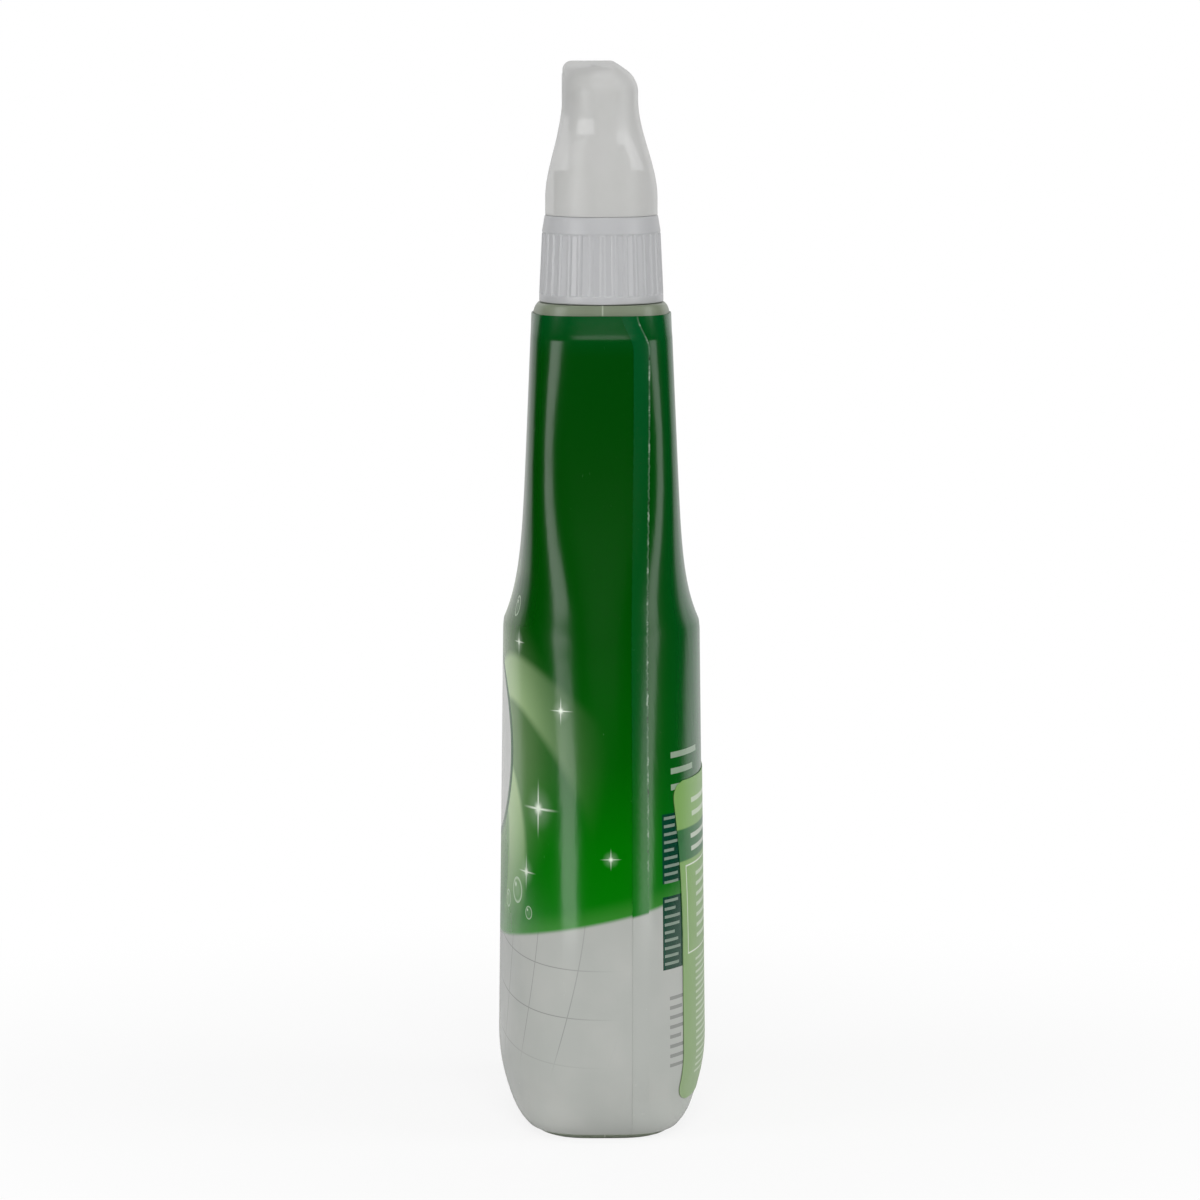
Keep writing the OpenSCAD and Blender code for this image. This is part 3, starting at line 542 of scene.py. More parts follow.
def lay_strip(s, t):
    rows = np.rint(t * strip_rows).astype(int)
    laid = np.zeros((len(s), 3))
    for row in range(strip_rows + 1):
        z = strip_levels[row]
        section = skin(fine_turn, np.full(400, z), sleeve_gap + sleeve_t + 0.005)
        here = rows == row
        y = overlap_edge(z) - overlap_w * (1 - s[here])
        x = np.interp(y, section[:, 1], section[:, 0])
        laid[here] = np.column_stack([x, y, np.full(here.sum(), z)])
    return laid


def strip_flat(s, t):
    return np.column_stack([s * overlap_w, strip_levels[np.rint(t * strip_rows).astype(int)]])


strip = laid_sheet("sleeve_overlap", strip_columns, strip_rows, lay_strip, strip_flat)
merge_edges(strip)
give_wall(strip, overlap_t, 1.0)
smooth(strip, 40)
seat(strip, "bottle", "label_sleeve")

# %% [markdown]
# ## The back label's sticker
#
# A second, paler sticker was put over the back label. It is a plain film rectangle with round
# corners, laid on the long curve of the body's side.

# %% The sticker
sticker_w, sticker_h, sticker_z, sticker_r, sticker_t = 76.0, 86.0, 9.0, 5.0, 0.15
sticker_columns, sticker_rows = 48, 56


def lay_sticker(s, t):
    bend = np.clip(t, 0, 1)
    h = sticker_h * (bend - 0.06 * np.sin(2 * np.pi * bend) / (2 * np.pi) * 8)
    e = np.clip(sticker_r - np.minimum(h, sticker_h - h), 0, sticker_r)
    half = sticker_w / 2 - (sticker_r - np.sqrt(sticker_r**2 - e**2))
    x, z = (2 * s - 1) * half, sticker_z + h
    out, power = sleeve_t + 3 * sleeve_gap + sticker_t, section_power(z)
    depth, width = half_depth(z) - foot_draw(z) + out, half_width(x, z) - foot_draw(z) + out
    return np.column_stack([x, depth * (1 - (np.abs(x) / width) ** power) ** (1 / power), z])


def sticker_flat(s, t):
    laid = lay_sticker(s, t)
    return np.column_stack([sticker_w / 2 - laid[:, 0], laid[:, 2] - sticker_z])


sticker = laid_sheet("label_sticker", sticker_columns, sticker_rows, lay_sticker, sticker_flat)
merge_edges(sticker)
if sum(p.normal.y for p in sticker.data.polygons) < 0:
    pick(sticker)
    bpy.ops.object.mode_set(mode="EDIT")
    bpy.ops.mesh.select_all(action="SELECT")
    bpy.ops.mesh.flip_normals()
    bpy.ops.object.mode_set(mode="OBJECT")
give_wall(sticker, sticker_t)
smooth(sticker, 40)
seat(sticker, "bottle", "back_sticker", "back_sticker")

# %% [markdown]
# ## The blown bottle
#
# Under the sleeve is a bottle of natural plastic, open at the neck. One sheet follows its whole wall:
# from the middle of the raised base, out over the standing ring, up the body and the neck, over the
# rim and down again inside. Both ends of the sheet shrink to a point, so merging closes them.

# %% The bottle's wall
neck_r, neck_bore_r, neck_root_z = 12.4, 10.5, shoulder_z + shoulder_rise
rim_z = neck_root_z + 19.0
bottle_columns = 160
bottle_angles = crowded_angles(bottle_columns)


def wall_rows():
    """Rows of the wall as (kind, height read, height drawn, scale or radius, growth)."""
    rows = [("skin", 0.0, push_up, 0.0, 0.0)]
    base = [
        (0.08, 1.0), (0.3, 0.93), (0.45, 0.85), (0.6, 0.55),
        (0.72, 0.25), (0.8, 0.0), (0.9, 0.0), (0.97, 0.0),
    ]
    rows += [("skin", 0.0, push_up * lift, scale, 0.0) for scale, lift in base]
    foot = foot_h * (1 - np.cos(np.linspace(0, np.pi / 2, 15)))
    upper = levels((foot_h, hip_z - 8, 12), (hip_z - 8, 206, 30), (206, shoulder_z, 12))
    body = np.concatenate([foot, upper[1:]])
    top = shoulder_z + shoulder_rise * np.array([0.14, 0.28, 0.45, 0.6, 0.75, 0.87, 0.95, 1.0])
    rows += [("skin", z, z, 1.0, -0.1) for z in np.concatenate([body, top])]
    rows += [("ring", 0, neck_root_z + 0.02, neck_r + 0.3, 0), ("ring", 0, neck_root_z + 0.35, neck_r, 0)]
    rows += [("ring", 0, z, neck_r, 0) for z in np.linspace(neck_root_z + 2, rim_z - 0.3, 6)]
    rows += [("ring", 0, rim_z, neck_r - 0.3, 0), ("ring", 0, rim_z, neck_bore_r + 0.3, 0)]
    rows += [("ring", 0, z, neck_bore_r, 0) for z in np.linspace(rim_z - 0.3, neck_root_z - 0.2, 6)]
    inner_top = [(z, z - wall * (z - shoulder_z) / shoulder_rise) for z in top[::-1]]
    rows += [("skin", z, drawn, 1.0, -wall) for z, drawn in inner_top if z < neck_root_z - 0.3]
    rows += [("skin", z, max(wall, z), 1.0, -wall) for z in body[::-1]]
    rows += [("skin", 0.0, push_up * lift + wall, scale, -wall) for scale, lift in base[::-1] if scale < 0.95]
    rows += [("skin", 0.0, push_up + wall, 0.0, -wall)]
    return rows


bottle_wall_rows = wall_rows()
last_row = len(bottle_wall_rows) - 1


def lay_bottle(s, t):
    laid = np.zeros((len(s), 3))
    rows, angle = np.rint(t * last_row).astype(int), bottle_angles[np.rint(s * bottle_columns).astype(int)]
    for row, (kind, read_z, drawn_z, size, grow) in enumerate(bottle_wall_rows):
        here = rows == row
        turn = angle[here]
        if kind == "skin":
            laid[here, :2] = skin(turn, np.full(here.sum(), read_z), grow, size)
        else:
            way = skin(turn, np.full(here.sum(), shoulder_z))
            laid[here, :2] = way / np.linalg.norm(way, axis=1, keepdims=True) * size
        laid[here, 2] = drawn_z
    return laid


bottle = laid_sheet("bottle_wall", bottle_columns, last_row, lay_bottle)
merge_edges(bottle)

# %% [markdown]
# The thread is a rounded bead wound one and a half turns round the neck, and the collar has its
# partner inside. Both fade out at their ends, as a moulded thread does.

# %% Thread beads
thread_pitch, thread_h, thread_w, thread_turns, thread_gap = 4.233, 1.2, 2.3, 1.5, 0.4
bead_low_z = rim_z - thread_pitch * thread_turns - 3.2
bead_start = math.radians(40)


def wind_bead(name, low_z, root_r, crest_r):
    across = np.array([-1.0, -0.78, -0.45, 0.0, 0.45, 0.78, 1.0, 0.0, -1.0])
    raised = np.array([0.0, 0.62, 0.93, 1.0, 0.93, 0.62, 0.0, -0.2, 0.0])
    steps = 150

    def place(s, t):
        k = np.rint(s * 8).astype(int)
        fade = ease(np.minimum(t, 1 - t) * 9)
        fade[(t < 1e-6) | (t > 1 - 1e-6)] = 0
        r = root_r + (crest_r - root_r) * raised[k] * fade
        turn = bead_start + 2 * np.pi * thread_turns * t
        z = low_z + thread_pitch * thread_turns * t + across[k] * thread_w / 2 * fade
        return np.column_stack([r * np.cos(turn), r * np.sin(turn), z])

    return merge_edges(laid_sheet(name, 8, steps, place))


def join_all(main, *others):
    pick(main)
    for other in others:
        other.select_set(True)
    bpy.ops.object.join()
    return main


join_all(bottle, wind_bead("neck_thread", bead_low_z, neck_r - 0.2, neck_r + thread_h))
smooth(bottle, 40)
seat(bottle, "bottle", "bottle", "bottle")

# %% [markdown]
# ## The ribbed collar
#
# The collar is a cap with an open top: a plain rim at the foot, fine grip ribs up the skirt, and a
# plain band above. It is one closed sheet, turned about the neck. The ribs are part of the sheet:
# wherever a rib's round back stands out further than the skirt, the sheet follows it.

# %% Profile with rounded corners
def round_corners(points, radii, pieces=4):
    """A closed outline whose corners are rounded off by small arcs."""
    made = []
    count = len(points)
    for i, (point, radius) in enumerate(zip(points, radii)):
        p = np.array(point, float)
        back = np.array(points[i - 1], float) - p
        on = np.array(points[(i + 1) % count], float) - p
        cut = min(radius, np.linalg.norm(back) * 0.45, np.linalg.norm(on) * 0.45)
        a, b = p + back / np.linalg.norm(back) * cut, p + on / np.linalg.norm(on) * cut
        if radius == 0:
            made.append(p)
            continue
        for k in range(pieces + 1):
            t = k / pieces
            made.append((1 - t) ** 2 * a + 2 * t * (1 - t) * p + t * t * b)
    return np.array(made + [made[0]])


# %% The collar
collar_foot_z, collar_top_z = neck_root_z + 0.15, rim_z + 4.45
collar_lip_z = collar_top_z - 1.2
collar_bore_r, collar_hole_r = neck_r + thread_h + thread_gap, 12.05
rib_count, rib_r, rib_out, rib_rim_h, collar_band_h = 32, 1.1, 0.35, 1.4, 5.0
rib_foot_z, rib_top_z = neck_root_z + 0.8 + rib_rim_h, collar_top_z - collar_band_h
waist_r = (collar_r + collar_top_r) / 2
collar_outline = round_corners(
    [
        (collar_bore_r, collar_foot_z), (collar_r, collar_foot_z), (collar_r, rib_foot_z),
        (collar_r - rib_out, rib_foot_z + 0.25), (waist_r - rib_out, rib_top_z), (waist_r, rib_top_z + 0.5),
        (collar_top_r, collar_top_z), (collar_hole_r, collar_top_z), (collar_hole_r, collar_lip_z),
        (collar_bore_r, collar_lip_z),
    ],
    [0.25, 0.4, 0.2, 0.15, 0.3, 0.3, 0.55, 0.2, 0.15, 0.3],
)
extra = []
for a, b in zip(collar_outline[:-1], collar_outline[1:]):
    extra.append(a)
    parts = int(np.linalg.norm(b - a) / 1.6)
    extra += [a + (b - a) * k / (parts + 1) for k in range(1, parts + 1)]
collar_outline = np.array(extra + [collar_outline[-1]])
rib_half_steps = [0.7, 1.5, 2.2, 2.7, 3.05, 3.7, 4.6]
rib_steps = np.radians([-5.625, *[-step for step in rib_half_steps[::-1]], 0.0, *rib_half_steps])
rib_turns = [rib_steps + 2 * np.pi * i / rib_count for i in range(rib_count)]
rib_angles = np.concatenate([*rib_turns, [rib_steps[0] + 2 * np.pi]])
collar_rows = len(collar_outline) - 1


def rib_reach(off, z, base_r):
    """How far out a rib's round back reaches at an angle from its middle, fading at both ends."""
    centre = base_r + rib_out - rib_r
    inside = np.clip(rib_r**2 - (centre * np.sin(off)) ** 2, 0, None)
    reach = centre * np.cos(off) + np.sqrt(inside)
    ends = ease((z - rib_foot_z) / 0.3) * ease((rib_top_z + 0.35 - z) / 0.5)
    return np.where(inside > 0, base_r + (np.maximum(reach, base_r) - base_r) * ends, base_r)


def lay_collar(s, t):
    column = np.rint(s * (len(rib_angles) - 1)).astype(int)
    r, z = collar_outline[np.rint(t * collar_rows).astype(int)].T
    turn = rib_angles[column]
    off = rib_steps[column % len(rib_steps)]
    ribbed = (r > collar_bore_r + 1.2) & (z > rib_foot_z) & (z < rib_top_z + 0.45)
    r = np.where(ribbed, rib_reach(off, z, r), r)
    return np.column_stack([r * np.cos(turn), r * np.sin(turn), z])


collar = merge_edges(laid_sheet("screw_collar", len(rib_angles) - 1, collar_rows, lay_collar))
collar_bead_z = bead_low_z - thread_pitch / 2
join_all(collar, wind_bead("collar_thread", collar_bead_z, collar_bore_r + 0.2, neck_r + thread_gap))
smooth(collar, 38)
dress(collar, white_plastic)
seat(collar, "collar", "collar", "collar")

# %% [markdown]
# ## The milky shroud
#
# The cover is a thin shell, open underneath and in front. Seen from above it is a horseshoe: round at
# the rear and straight along its sides to the nozzle. A sheet is laid on that horseshoe from the foot
# to the top, where its two sides meet along the middle line, and a wall is given to it inwards.

# %% The shroud's shell
head_yaw = math.radians(3.3)
drum_z = collar_top_z + 0.5
barrel_z = drum_z + 30.5
shroud_t, bell_r, hood_rear_w, hood_front_w = 1.1, 15.1, 9.7, 7.7
hood_front, shroud_h, top_round, front_round = 38.0, 39.6, 7.4, 2.5
shroud_top_z = drum_z + shroud_h
arch_front_x, arch_run, arch_front_z, arch_drop = hood_front - 12, 18.0, drum_z + 21, 19.0
rear_parts, side_parts = 64, 40


def to_spray(points):
    """Turns points drawn with the nozzle towards +X to where the sprayer really points."""
    turn = math.pi + head_yaw
    c, s = math.cos(turn), math.sin(turn)
    x, y, z = np.asarray(points, float).T
    return np.column_stack([c * x - s * y, s * x + c * y, z])


def round_draw(z, r):
    e = np.clip(z - shroud_top_z + r, 0, r)
    return r - np.sqrt(r * r - e * e)


def arch_z(x):
    """Height of the shroud's lower edge at a place along the sprayer."""
    across = np.clip((arch_front_x - x) / arch_run, 0, 1)
    rise = arch_front_z - arch_drop * (1 - np.sqrt(1 - across**2))
    skirt_z = collar_top_z + 0.06
    low = skirt_z + (arch_front_z - arch_drop - skirt_z) * ease((x - (arch_front_x - arch_run) + 3) / 3)
    return np.where(x >= arch_front_x, arch_front_z, np.where(x > arch_front_x - arch_run, rise, low))


def horseshoe(k, z):
    """A point of the section by its place round the horseshoe, from -1 over the rear at 0 to 1."""
    f = ease((z - drum_z - 4) / 26.5)
    rear_draw, front_draw = round_draw(z, top_round), round_draw(z, front_round)
    rear_x = bell_r - 1.4 * f - rear_draw
    full_w = bell_r + (hood_rear_w - bell_r) * f
    rear_w = full_w - rear_draw
    front_w = np.minimum(full_w, hood_front_w + (bell_r - hood_front_w) * (1 - f) / 2) - front_draw
    share = rear_parts / (rear_parts + 2 * side_parts)
    on_rear = np.abs(k) <= share
    angle = np.pi / 2 * np.clip(np.abs(k) / share, 0, 1)
    power = 2 / (2 + 0.7 * f)
    s = np.clip((np.abs(k) - share) / (1 - share), 0, 1)
    x = np.where(on_rear, -rear_x * np.cos(angle) ** power, (hood_front - front_draw / 2) * s)
    y = np.where(on_rear, rear_w * np.sin(angle) ** power, rear_w - (rear_w - front_w) * s + s * (1 - s))
    return x, np.sign(k) * y


wall_share, round_share = 0.62, 0.86


def lay_shroud(s, t):
    k = 2 * s - 1
    x_low, _ = horseshoe(k, np.full(len(k), arch_front_z))
    foot = arch_z(x_low)
    straight = foot + (shroud_top_z - top_round - foot) * np.clip(t / wall_share, 0, 1)
    rise = np.clip((t - wall_share) / (round_share - wall_share), 0, 1)
    z = np.where(t <= wall_share, straight, shroud_top_z - top_round * (1 - np.sin(rise * np.pi / 2)))
    x, y = horseshoe(k, z)
    closing = np.clip((1 - t) / (1 - round_share), 0, 1)
    return to_spray(np.column_stack([x, y * closing, z]))


shroud = laid_sheet("sprayer_shroud", rear_parts + 2 * side_parts, 100, lay_shroud)
merge_edges(shroud)
give_wall(shroud, shroud_t)
smooth(shroud, 40)
print("shroud top at", round(shroud_top_z, 2), "mm")

# %% The rib that the hood's ceiling rests on the barrel with
barrel_r = 4.3
bpy.ops.mesh.primitive_cube_add(size=1)
clip_bar = bpy.context.object
clip_low, clip_high = barrel_z + barrel_r + 0.15, shroud_top_z - shroud_t + 0.3
corners = np.array([v.co for v in clip_bar.data.vertices]) + 0.5
low, high = np.array([-barrel_r, -0.6, clip_low]), np.array([hood_front - 8.6, 0.6, clip_high])
clip_points = to_spray(low + corners * (high - low)) * MM
clip_bar.data.vertices.foreach_set("co", clip_points.astype(np.float32).ravel())
soften_edges(clip_bar, 0.15)
join_all(shroud, clip_bar)
smooth(shroud, 40)
dress(shroud, milky_plastic)
seat(shroud, "sprayer", "shroud", "shroud")

# %% [markdown]
# ## Moulded parts that keep their CAD shape
#
# The pump body, the trigger and the nozzle have the right shape already, but their mesh is loose
# triangles with razor edges, which no moulding has. A copy is merged, its flat faces are joined, and
# a small bevel breaks every sharp edge, so each one catches a thin line of light.

# %% Copy a CAD piece and break its edges
def bevelled_copy(node, name, width, body, material):
    piece = nodes[node].copy()
    piece.data = nodes[node].data.copy()
    piece.name = piece.data.name = name
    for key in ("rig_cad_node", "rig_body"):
        if key in piece:
            del piece[key]
    piece.parent = None
    scene.collection.objects.link(piece)
    pick(piece)
    bpy.ops.object.mode_set(mode="EDIT")
    bpy.ops.mesh.select_all(action="SELECT")
    bpy.ops.mesh.remove_doubles(threshold=1e-6)
    bpy.ops.mesh.dissolve_limited(angle_limit=math.radians(0.3))
    bpy.ops.object.mode_set(mode="OBJECT")
    soften_edges(piece, width, 32)
    smooth(piece, 32)
    dress(piece, material)
    return seat(piece, body, node, node)


bevelled_copy("trigger", "squeeze_trigger", 0.3, "trigger", trigger_plastic)
bevelled_copy("nozzle_cap", "turning_nozzle", 0.25, "nozzle_cap", trigger_plastic)
bevelled_copy("pump_body", "pump_housing", 0.12, "sprayer", housing_plastic)
bevelled_copy("piston", "piston_plunger", 0.12, "piston", white_plastic)
bevelled_copy("tube_retainer", "tube_holder", 0.12, "sprayer", housing_plastic)

# %% [markdown]
# The small pieces inside keep their CAD meshes and only get their finish: they are seen through the
# milky shroud, or when the sprayer is taken apart.

# %% Finishes of the inner pieces
for node, material in (
    ("gasket", soft_rubber), ("dip_tube", tube_plastic), ("inlet_ball", bright_steel),
    ("outlet_valve", soft_rubber), ("swirl_insert", trigger_plastic), ("nozzle_seal", seal_rubber),
):
    dress(nodes[node], material)
    if node in ("dip_tube", "inlet_ball", "gasket"):
        smooth(nodes[node], 30)

# %% [markdown]
# ## The return spring
#
# A round wire is wound into eight coils, the first and last of them closed. The sheet is laid round
# the wire and along it.

# %% The spring
cyl_z, cyl_rear, spring_seat = drum_z + 13.0, 10.0, 5.8
piston_front = 24 - 2 - 0.15
spring_l = piston_front - spring_seat + cyl_rear
wire, coils = 0.7, 8
coil_r = 4.6 - 1 - wire / 2 - 0.3


def lay_wire(s, t):
    turn = t * coils
    closed = wire * np.minimum(1, turn) + wire * np.maximum(0, turn - coils + 1)
    along = wire / 2 + closed + (spring_l - 3 * wire) * np.clip((turn - 1) / (coils - 2), 0, 1)
    around = 2 * np.pi * s
    thin = np.where((t < 1e-6) | (t > 1 - 1e-6), 0.0, 1.0)
    r = coil_r + wire / 2 * np.cos(around) * thin
    x = -cyl_rear + along - wire / 2 * np.sin(around) * thin
    a = 2 * np.pi * turn
    return to_spray(np.column_stack([x, r * np.cos(a), cyl_z + r * np.sin(a)]))


spring = merge_edges(laid_sheet("return_spring", 10, coils * 26, lay_wire))
smooth(spring, 60)
dress(spring, bright_steel)
seat(spring, "sprayer", "piston_spring", "piston_spring")
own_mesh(spring)

# %% [markdown]
# ## The print
#
# The film's print is generic: green that brightens downwards and ends in a soft wave over a pale
# field, a bare white oval with a swirl of light round it on the front label, a few glints and
# bubbles, faint tile joints on the pale field, and blank information panels on the back. Each motif
# that repeats is a group of its own, so placing one is a single line.

# %% Motifs: glint, bubble, blank bars
def motif_group(name, size):
    places = {"Flat": ("Vector", None), "U": ("Float", 0.0), "V": ("Float", 0.0), "Size": ("Float", size)}
    return shared_group(name, places, {"Mask": ("Float", None)})


def from_centre(motif, taken):
    """How far a point of the flat map lies from the motif's centre, in its own sizes."""
    flat_u, flat_v, _ = motif.split(taken.outputs["Flat"])
    from_u = motif.minus(flat_u, taken.outputs["U"])
    from_v = motif.minus(flat_v, taken.outputs["V"])
    return motif.over(from_u, taken.outputs["Size"]), motif.over(from_v, taken.outputs["Size"])


glint, taken, given = motif_group("glint", 0.006)
du, dv = from_centre(glint, taken)
adu, adv = glint.math("ABSOLUTE", du), glint.math("ABSOLUTE", dv)
far = glint.far(du, dv)
ray_u = glint.times(glint.step(adv, 0.055, 0.0), glint.step(adu, 1.0, 0.0))
ray_v = glint.times(glint.step(adu, 0.055, 0.0), glint.step(adv, 1.0, 0.0))
core = glint.math("POWER", glint.step(far, 0.32, 0.0), 1.6)
halo = glint.times(glint.step(far, 0.8, 0.0), 0.18)
bright = glint.math("MAXIMUM", glint.math("MAXIMUM", ray_u, ray_v), core)
glint.put(given.inputs["Mask"], glint.plus(bright, halo, clamp=True))

bubble, taken, given = motif_group("bubble", 0.004)
du, dv = from_centre(bubble, taken)
far = bubble.far(du, dv)
rim = bubble.times(bubble.step(far, 0.7, 0.95), bubble.step(far, 1.03, 0.97))
shine_far = bubble.far(bubble.plus(du, 0.35), bubble.minus(dv, 0.4))
inside = bubble.times(bubble.step(far, 1.0, 0.2), 0.12)
shine = bubble.times(bubble.step(shine_far, 0.28, 0.05), 0.8)
lit = bubble.plus(bubble.times(rim, 0.55), shine)
bubble.put(given.inputs["Mask"], bubble.plus(lit, inside, clamp=True))

bars, taken, given = shared_group(
    "blank_bars",
    {
        "Flat": ("Vector", None), "Low": ("Vector", (0, 0, 0)), "High": ("Vector", (0.01, 0.01, 0)),
        "Pitch": ("Float", 0.0025),
    },
    {"Panel": ("Float", None), "Bars": ("Float", None)},
)
fu, fv, _ = bars.split(taken.outputs["Flat"])
lu, lv, _ = bars.split(taken.outputs["Low"])
hu, hv, _ = bars.split(taken.outputs["High"])
in_u = bars.times(bars.math("GREATER_THAN", fu, lu), bars.math("LESS_THAN", fu, hu))
in_v = bars.times(bars.math("GREATER_THAN", fv, lv), bars.math("LESS_THAN", fv, hv))
panel = bars.times(in_u, in_v)
line = bars.over(bars.minus(hv, fv), taken.outputs["Pitch"])
across_line = bars.math("FRACT", line)
on_line = bars.times(bars.math("GREATER_THAN", across_line, 0.35), bars.math("LESS_THAN", across_line, 0.72))
number = bars.math("FLOOR", line)
random = bars.node("ShaderNodeTexWhiteNoise", {"noise_dimensions": "1D"}, W=number).outputs["Value"]
length = bars.plus(bars.times(random, 0.35), 0.55)
span = bars.over(bars.minus(fu, lu), bars.minus(hu, lu))
on_length = bars.times(bars.math("GREATER_THAN", span, 0.08), bars.math("LESS_THAN", span, length))
bars.put(given.inputs["Panel"], panel)
bars.put(given.inputs["Bars"], bars.times(bars.times(on_line, on_length), panel))
print("motif groups:", [g.name for g in bpy.data.node_groups])

# %% [markdown]
# The sleeve's material mixes those motifs over the green field in the flat map, and then adds what
# the film does by itself: it is glossy, and shrinking leaves it faintly rippled along its height.

# %% The sleeve's material
sleeve_film, film, surface = new_material("printed_shrink_film")
flat = film.flat_map()
u, v, _ = film.split(flat)


green_stops = [
    (0.0, (0.0, 0.165, 0.0)), (0.27, (0.0, 0.165, 0.0)), (0.36, (0.0, 0.142, 0.0)),
    (0.46, (0.0, 0.088, 0.0004)), (0.60, (0.0, 0.064, 0.0006)), (0.80, (0.0003, 0.055, 0.0008)),
    (0.94, (0.0003, 0.056, 0.002)), (1.0, (0.0004, 0.075, 0.014)),
]
# The height that the green's stops are shares of, in metres
print_h = 0.22
green = film.ramp(film.over(v, print_h), green_stops)
cool = film.times(film.times(film.step(u, 0.008, 0.05), film.step(u, 0.134, 0.1)), 0.8)
green = film.blend(cool, green, (0.0005, 0.09, 0.02))

# A bare oval on the front label, and the light that swirls out from behind it
oval_u, oval_v = film.over(film.plus(u, 0.0655), 0.027), film.over(film.minus(v, 0.101), 0.0245)
oval_far = film.far(oval_u, oval_v)
oval_turn = film.math("ARCTAN2", oval_v, oval_u)
swirl = film.math("SINE", film.plus(film.times(oval_turn, 5.0), film.times(oval_far, 3.4)))
arms = film.times(film.step(swirl, 0.05, 0.6), film.step(oval_far, 2.5, 1.0))
glow = film.times(film.step(oval_far, 2.1, 0.9), 0.4)
light = film.plus(film.times(arms, 0.6), glow, clamp=True)
green = film.blend(light, green, (0.42, 0.58, 0.30))

# Pale field below a soft wave, with faint tile joints
wave_turn, wave_rise = 2 * math.pi / (flat_steps[-1] * MM), 0.0088


def sweep_edge(recipe, at_u, middle):
    """Height of the pale field's edge at a place round the film."""
    wave = recipe.math("SINE", recipe.plus(recipe.times(at_u, wave_turn), 0.08))
    return recipe.plus(recipe.times(wave, wave_rise), middle)


wave_edge = sweep_edge(film, u, 0.0592)
pale_share = film.step(film.minus(wave_edge, v), -0.0007, 0.0007)
soft_edge = film.times(film.step(film.minus(v, wave_edge), 0.006, 0.0), 0.25)
green = film.blend(soft_edge, green, (0.12, 0.36, 0.08))
lean = film.plus(u, film.times(film.math("POWER", film.math("ABSOLUTE", film.minus(v, 0.065)), 1.6), 1.4))
joint_u = film.math("PINGPONG", film.plus(lean, 0.2), 0.0075)
bend = film.minus(v, film.times(film.times(u, u), 1.8))
joint_v = film.math("PINGPONG", film.plus(bend, 0.2), 0.0065)
joints = film.math("MAXIMUM", film.step(joint_u, 0.00022, 0.00006), film.step(joint_v, 0.00022, 0.00006))
joint_side = film.math("ABSOLUTE", film.plus(u, 0.03))
joint_fade = film.times(film.step(v, 0.016, 0.03), film.step(joint_side, 0.036, 0.014))
joints = film.times(joints, joint_fade)
pale_cloud = film.noise(flat, 60.0, 2.0)
pale = film.blend(film.step(pale_cloud, 0.35, 0.7), (0.415, 0.43, 0.405), (0.445, 0.455, 0.43))
pale = film.blend(film.times(joints, 0.55), pale, (0.16, 0.17, 0.16))
colour = film.blend(pale_share, green, pale)

oval_ring = film.times(film.step(oval_far, 0.93, 0.96), film.step(oval_far, 1.05, 1.02))
colour = film.blend(film.step(oval_far, 1.03, 0.99), colour, (0.56, 0.57, 0.55))
colour = film.blend(oval_ring, colour, (0.01, 0.10, 0.02))

glints = (
    (-0.021, 0.0885, 0.0085), (-0.0125, 0.1145, 0.0042), (-0.027, 0.0712, 0.0055), (0.0015, 0.0765, 0.0032),
    (-0.1, 0.128, 0.006), (-0.108, 0.09, 0.008), (-0.033, 0.131, 0.0045),
)
bubbles = (
    (-0.033, 0.0655, 0.0035), (-0.0415, 0.062, 0.0024), (-0.0255, 0.0605, 0.0018), (-0.09, 0.07, 0.0042),
    (-0.098, 0.064, 0.0026), (-0.04, 0.14, 0.0028), (-0.048, 0.15, 0.0018), (-0.083, 0.145, 0.0034),
)
for group, places, ink in ((glint, glints, (0.74, 0.82, 0.70)), (bubble, bubbles, (0.62, 0.74, 0.58))):
    for at_u, at_v, size in places:
        mask = film.use(group.tree, Flat=flat, U=at_u, V=at_v, Size=size)[0]
        colour = film.blend(mask, colour, ink)


def place_bars(recipe, flat_map, low, high, pitch):
    """The panel and the bars of a block of blank lines between two corners of the flat map."""
    made = recipe.use(bars.tree, Flat=flat_map, Low=(*low, 0), High=(*high, 0), Pitch=pitch)
    return made[0], made[1]


for low, high in (((0.0172, 0.069), (0.0268, 0.0872)), ((0.0172, 0.046), (0.0268, 0.0655))):
    panel, lines = place_bars(film, flat, low, high, 0.0021)
    colour = film.blend(panel, colour, (0.0, 0.045, 0.022))
    colour = film.blend(film.times(lines, 0.5), colour, (0.42, 0.50, 0.42))
for low, high, pitch, share, ink in (
    ((0.019, 0.0195), (0.031, 0.0395), 0.0026, 0.55, (0.12, 0.13, 0.12)),
    ((0.019, 0.092), (0.048, 0.1045), 0.0042, 0.6, (0.46, 0.55, 0.44)),
):
    _, lines = place_bars(film, flat, low, high, pitch)
    colour = film.blend(film.times(lines, share), colour, ink)

film.put(surface.inputs["Base Color"], colour)
object_place = film.place()
ripple = film.noise(film.stretch(object_place, (1.0, 1.0, 0.16)), 240.0, 3.0, 0.55)
pucker = film.noise(object_place, 75.0, 2.0)
film_height = film.plus(film.times(ripple, 0.4), film.times(pucker, 0.6))
film.emboss(surface, film_height, 0.32, 0.0005)
scuffs = film.step(film.noise(film.stretch(object_place, (1, 1, 0.3)), 900.0, 5.0, 0.7), 0.55, 0.8)
film.put(surface.inputs["Roughness"], film.plus(film.times(scuffs, 0.1), 0.2))
surface.inputs["IOR"].default_value = 1.5
dress(sleeve, sleeve_film)
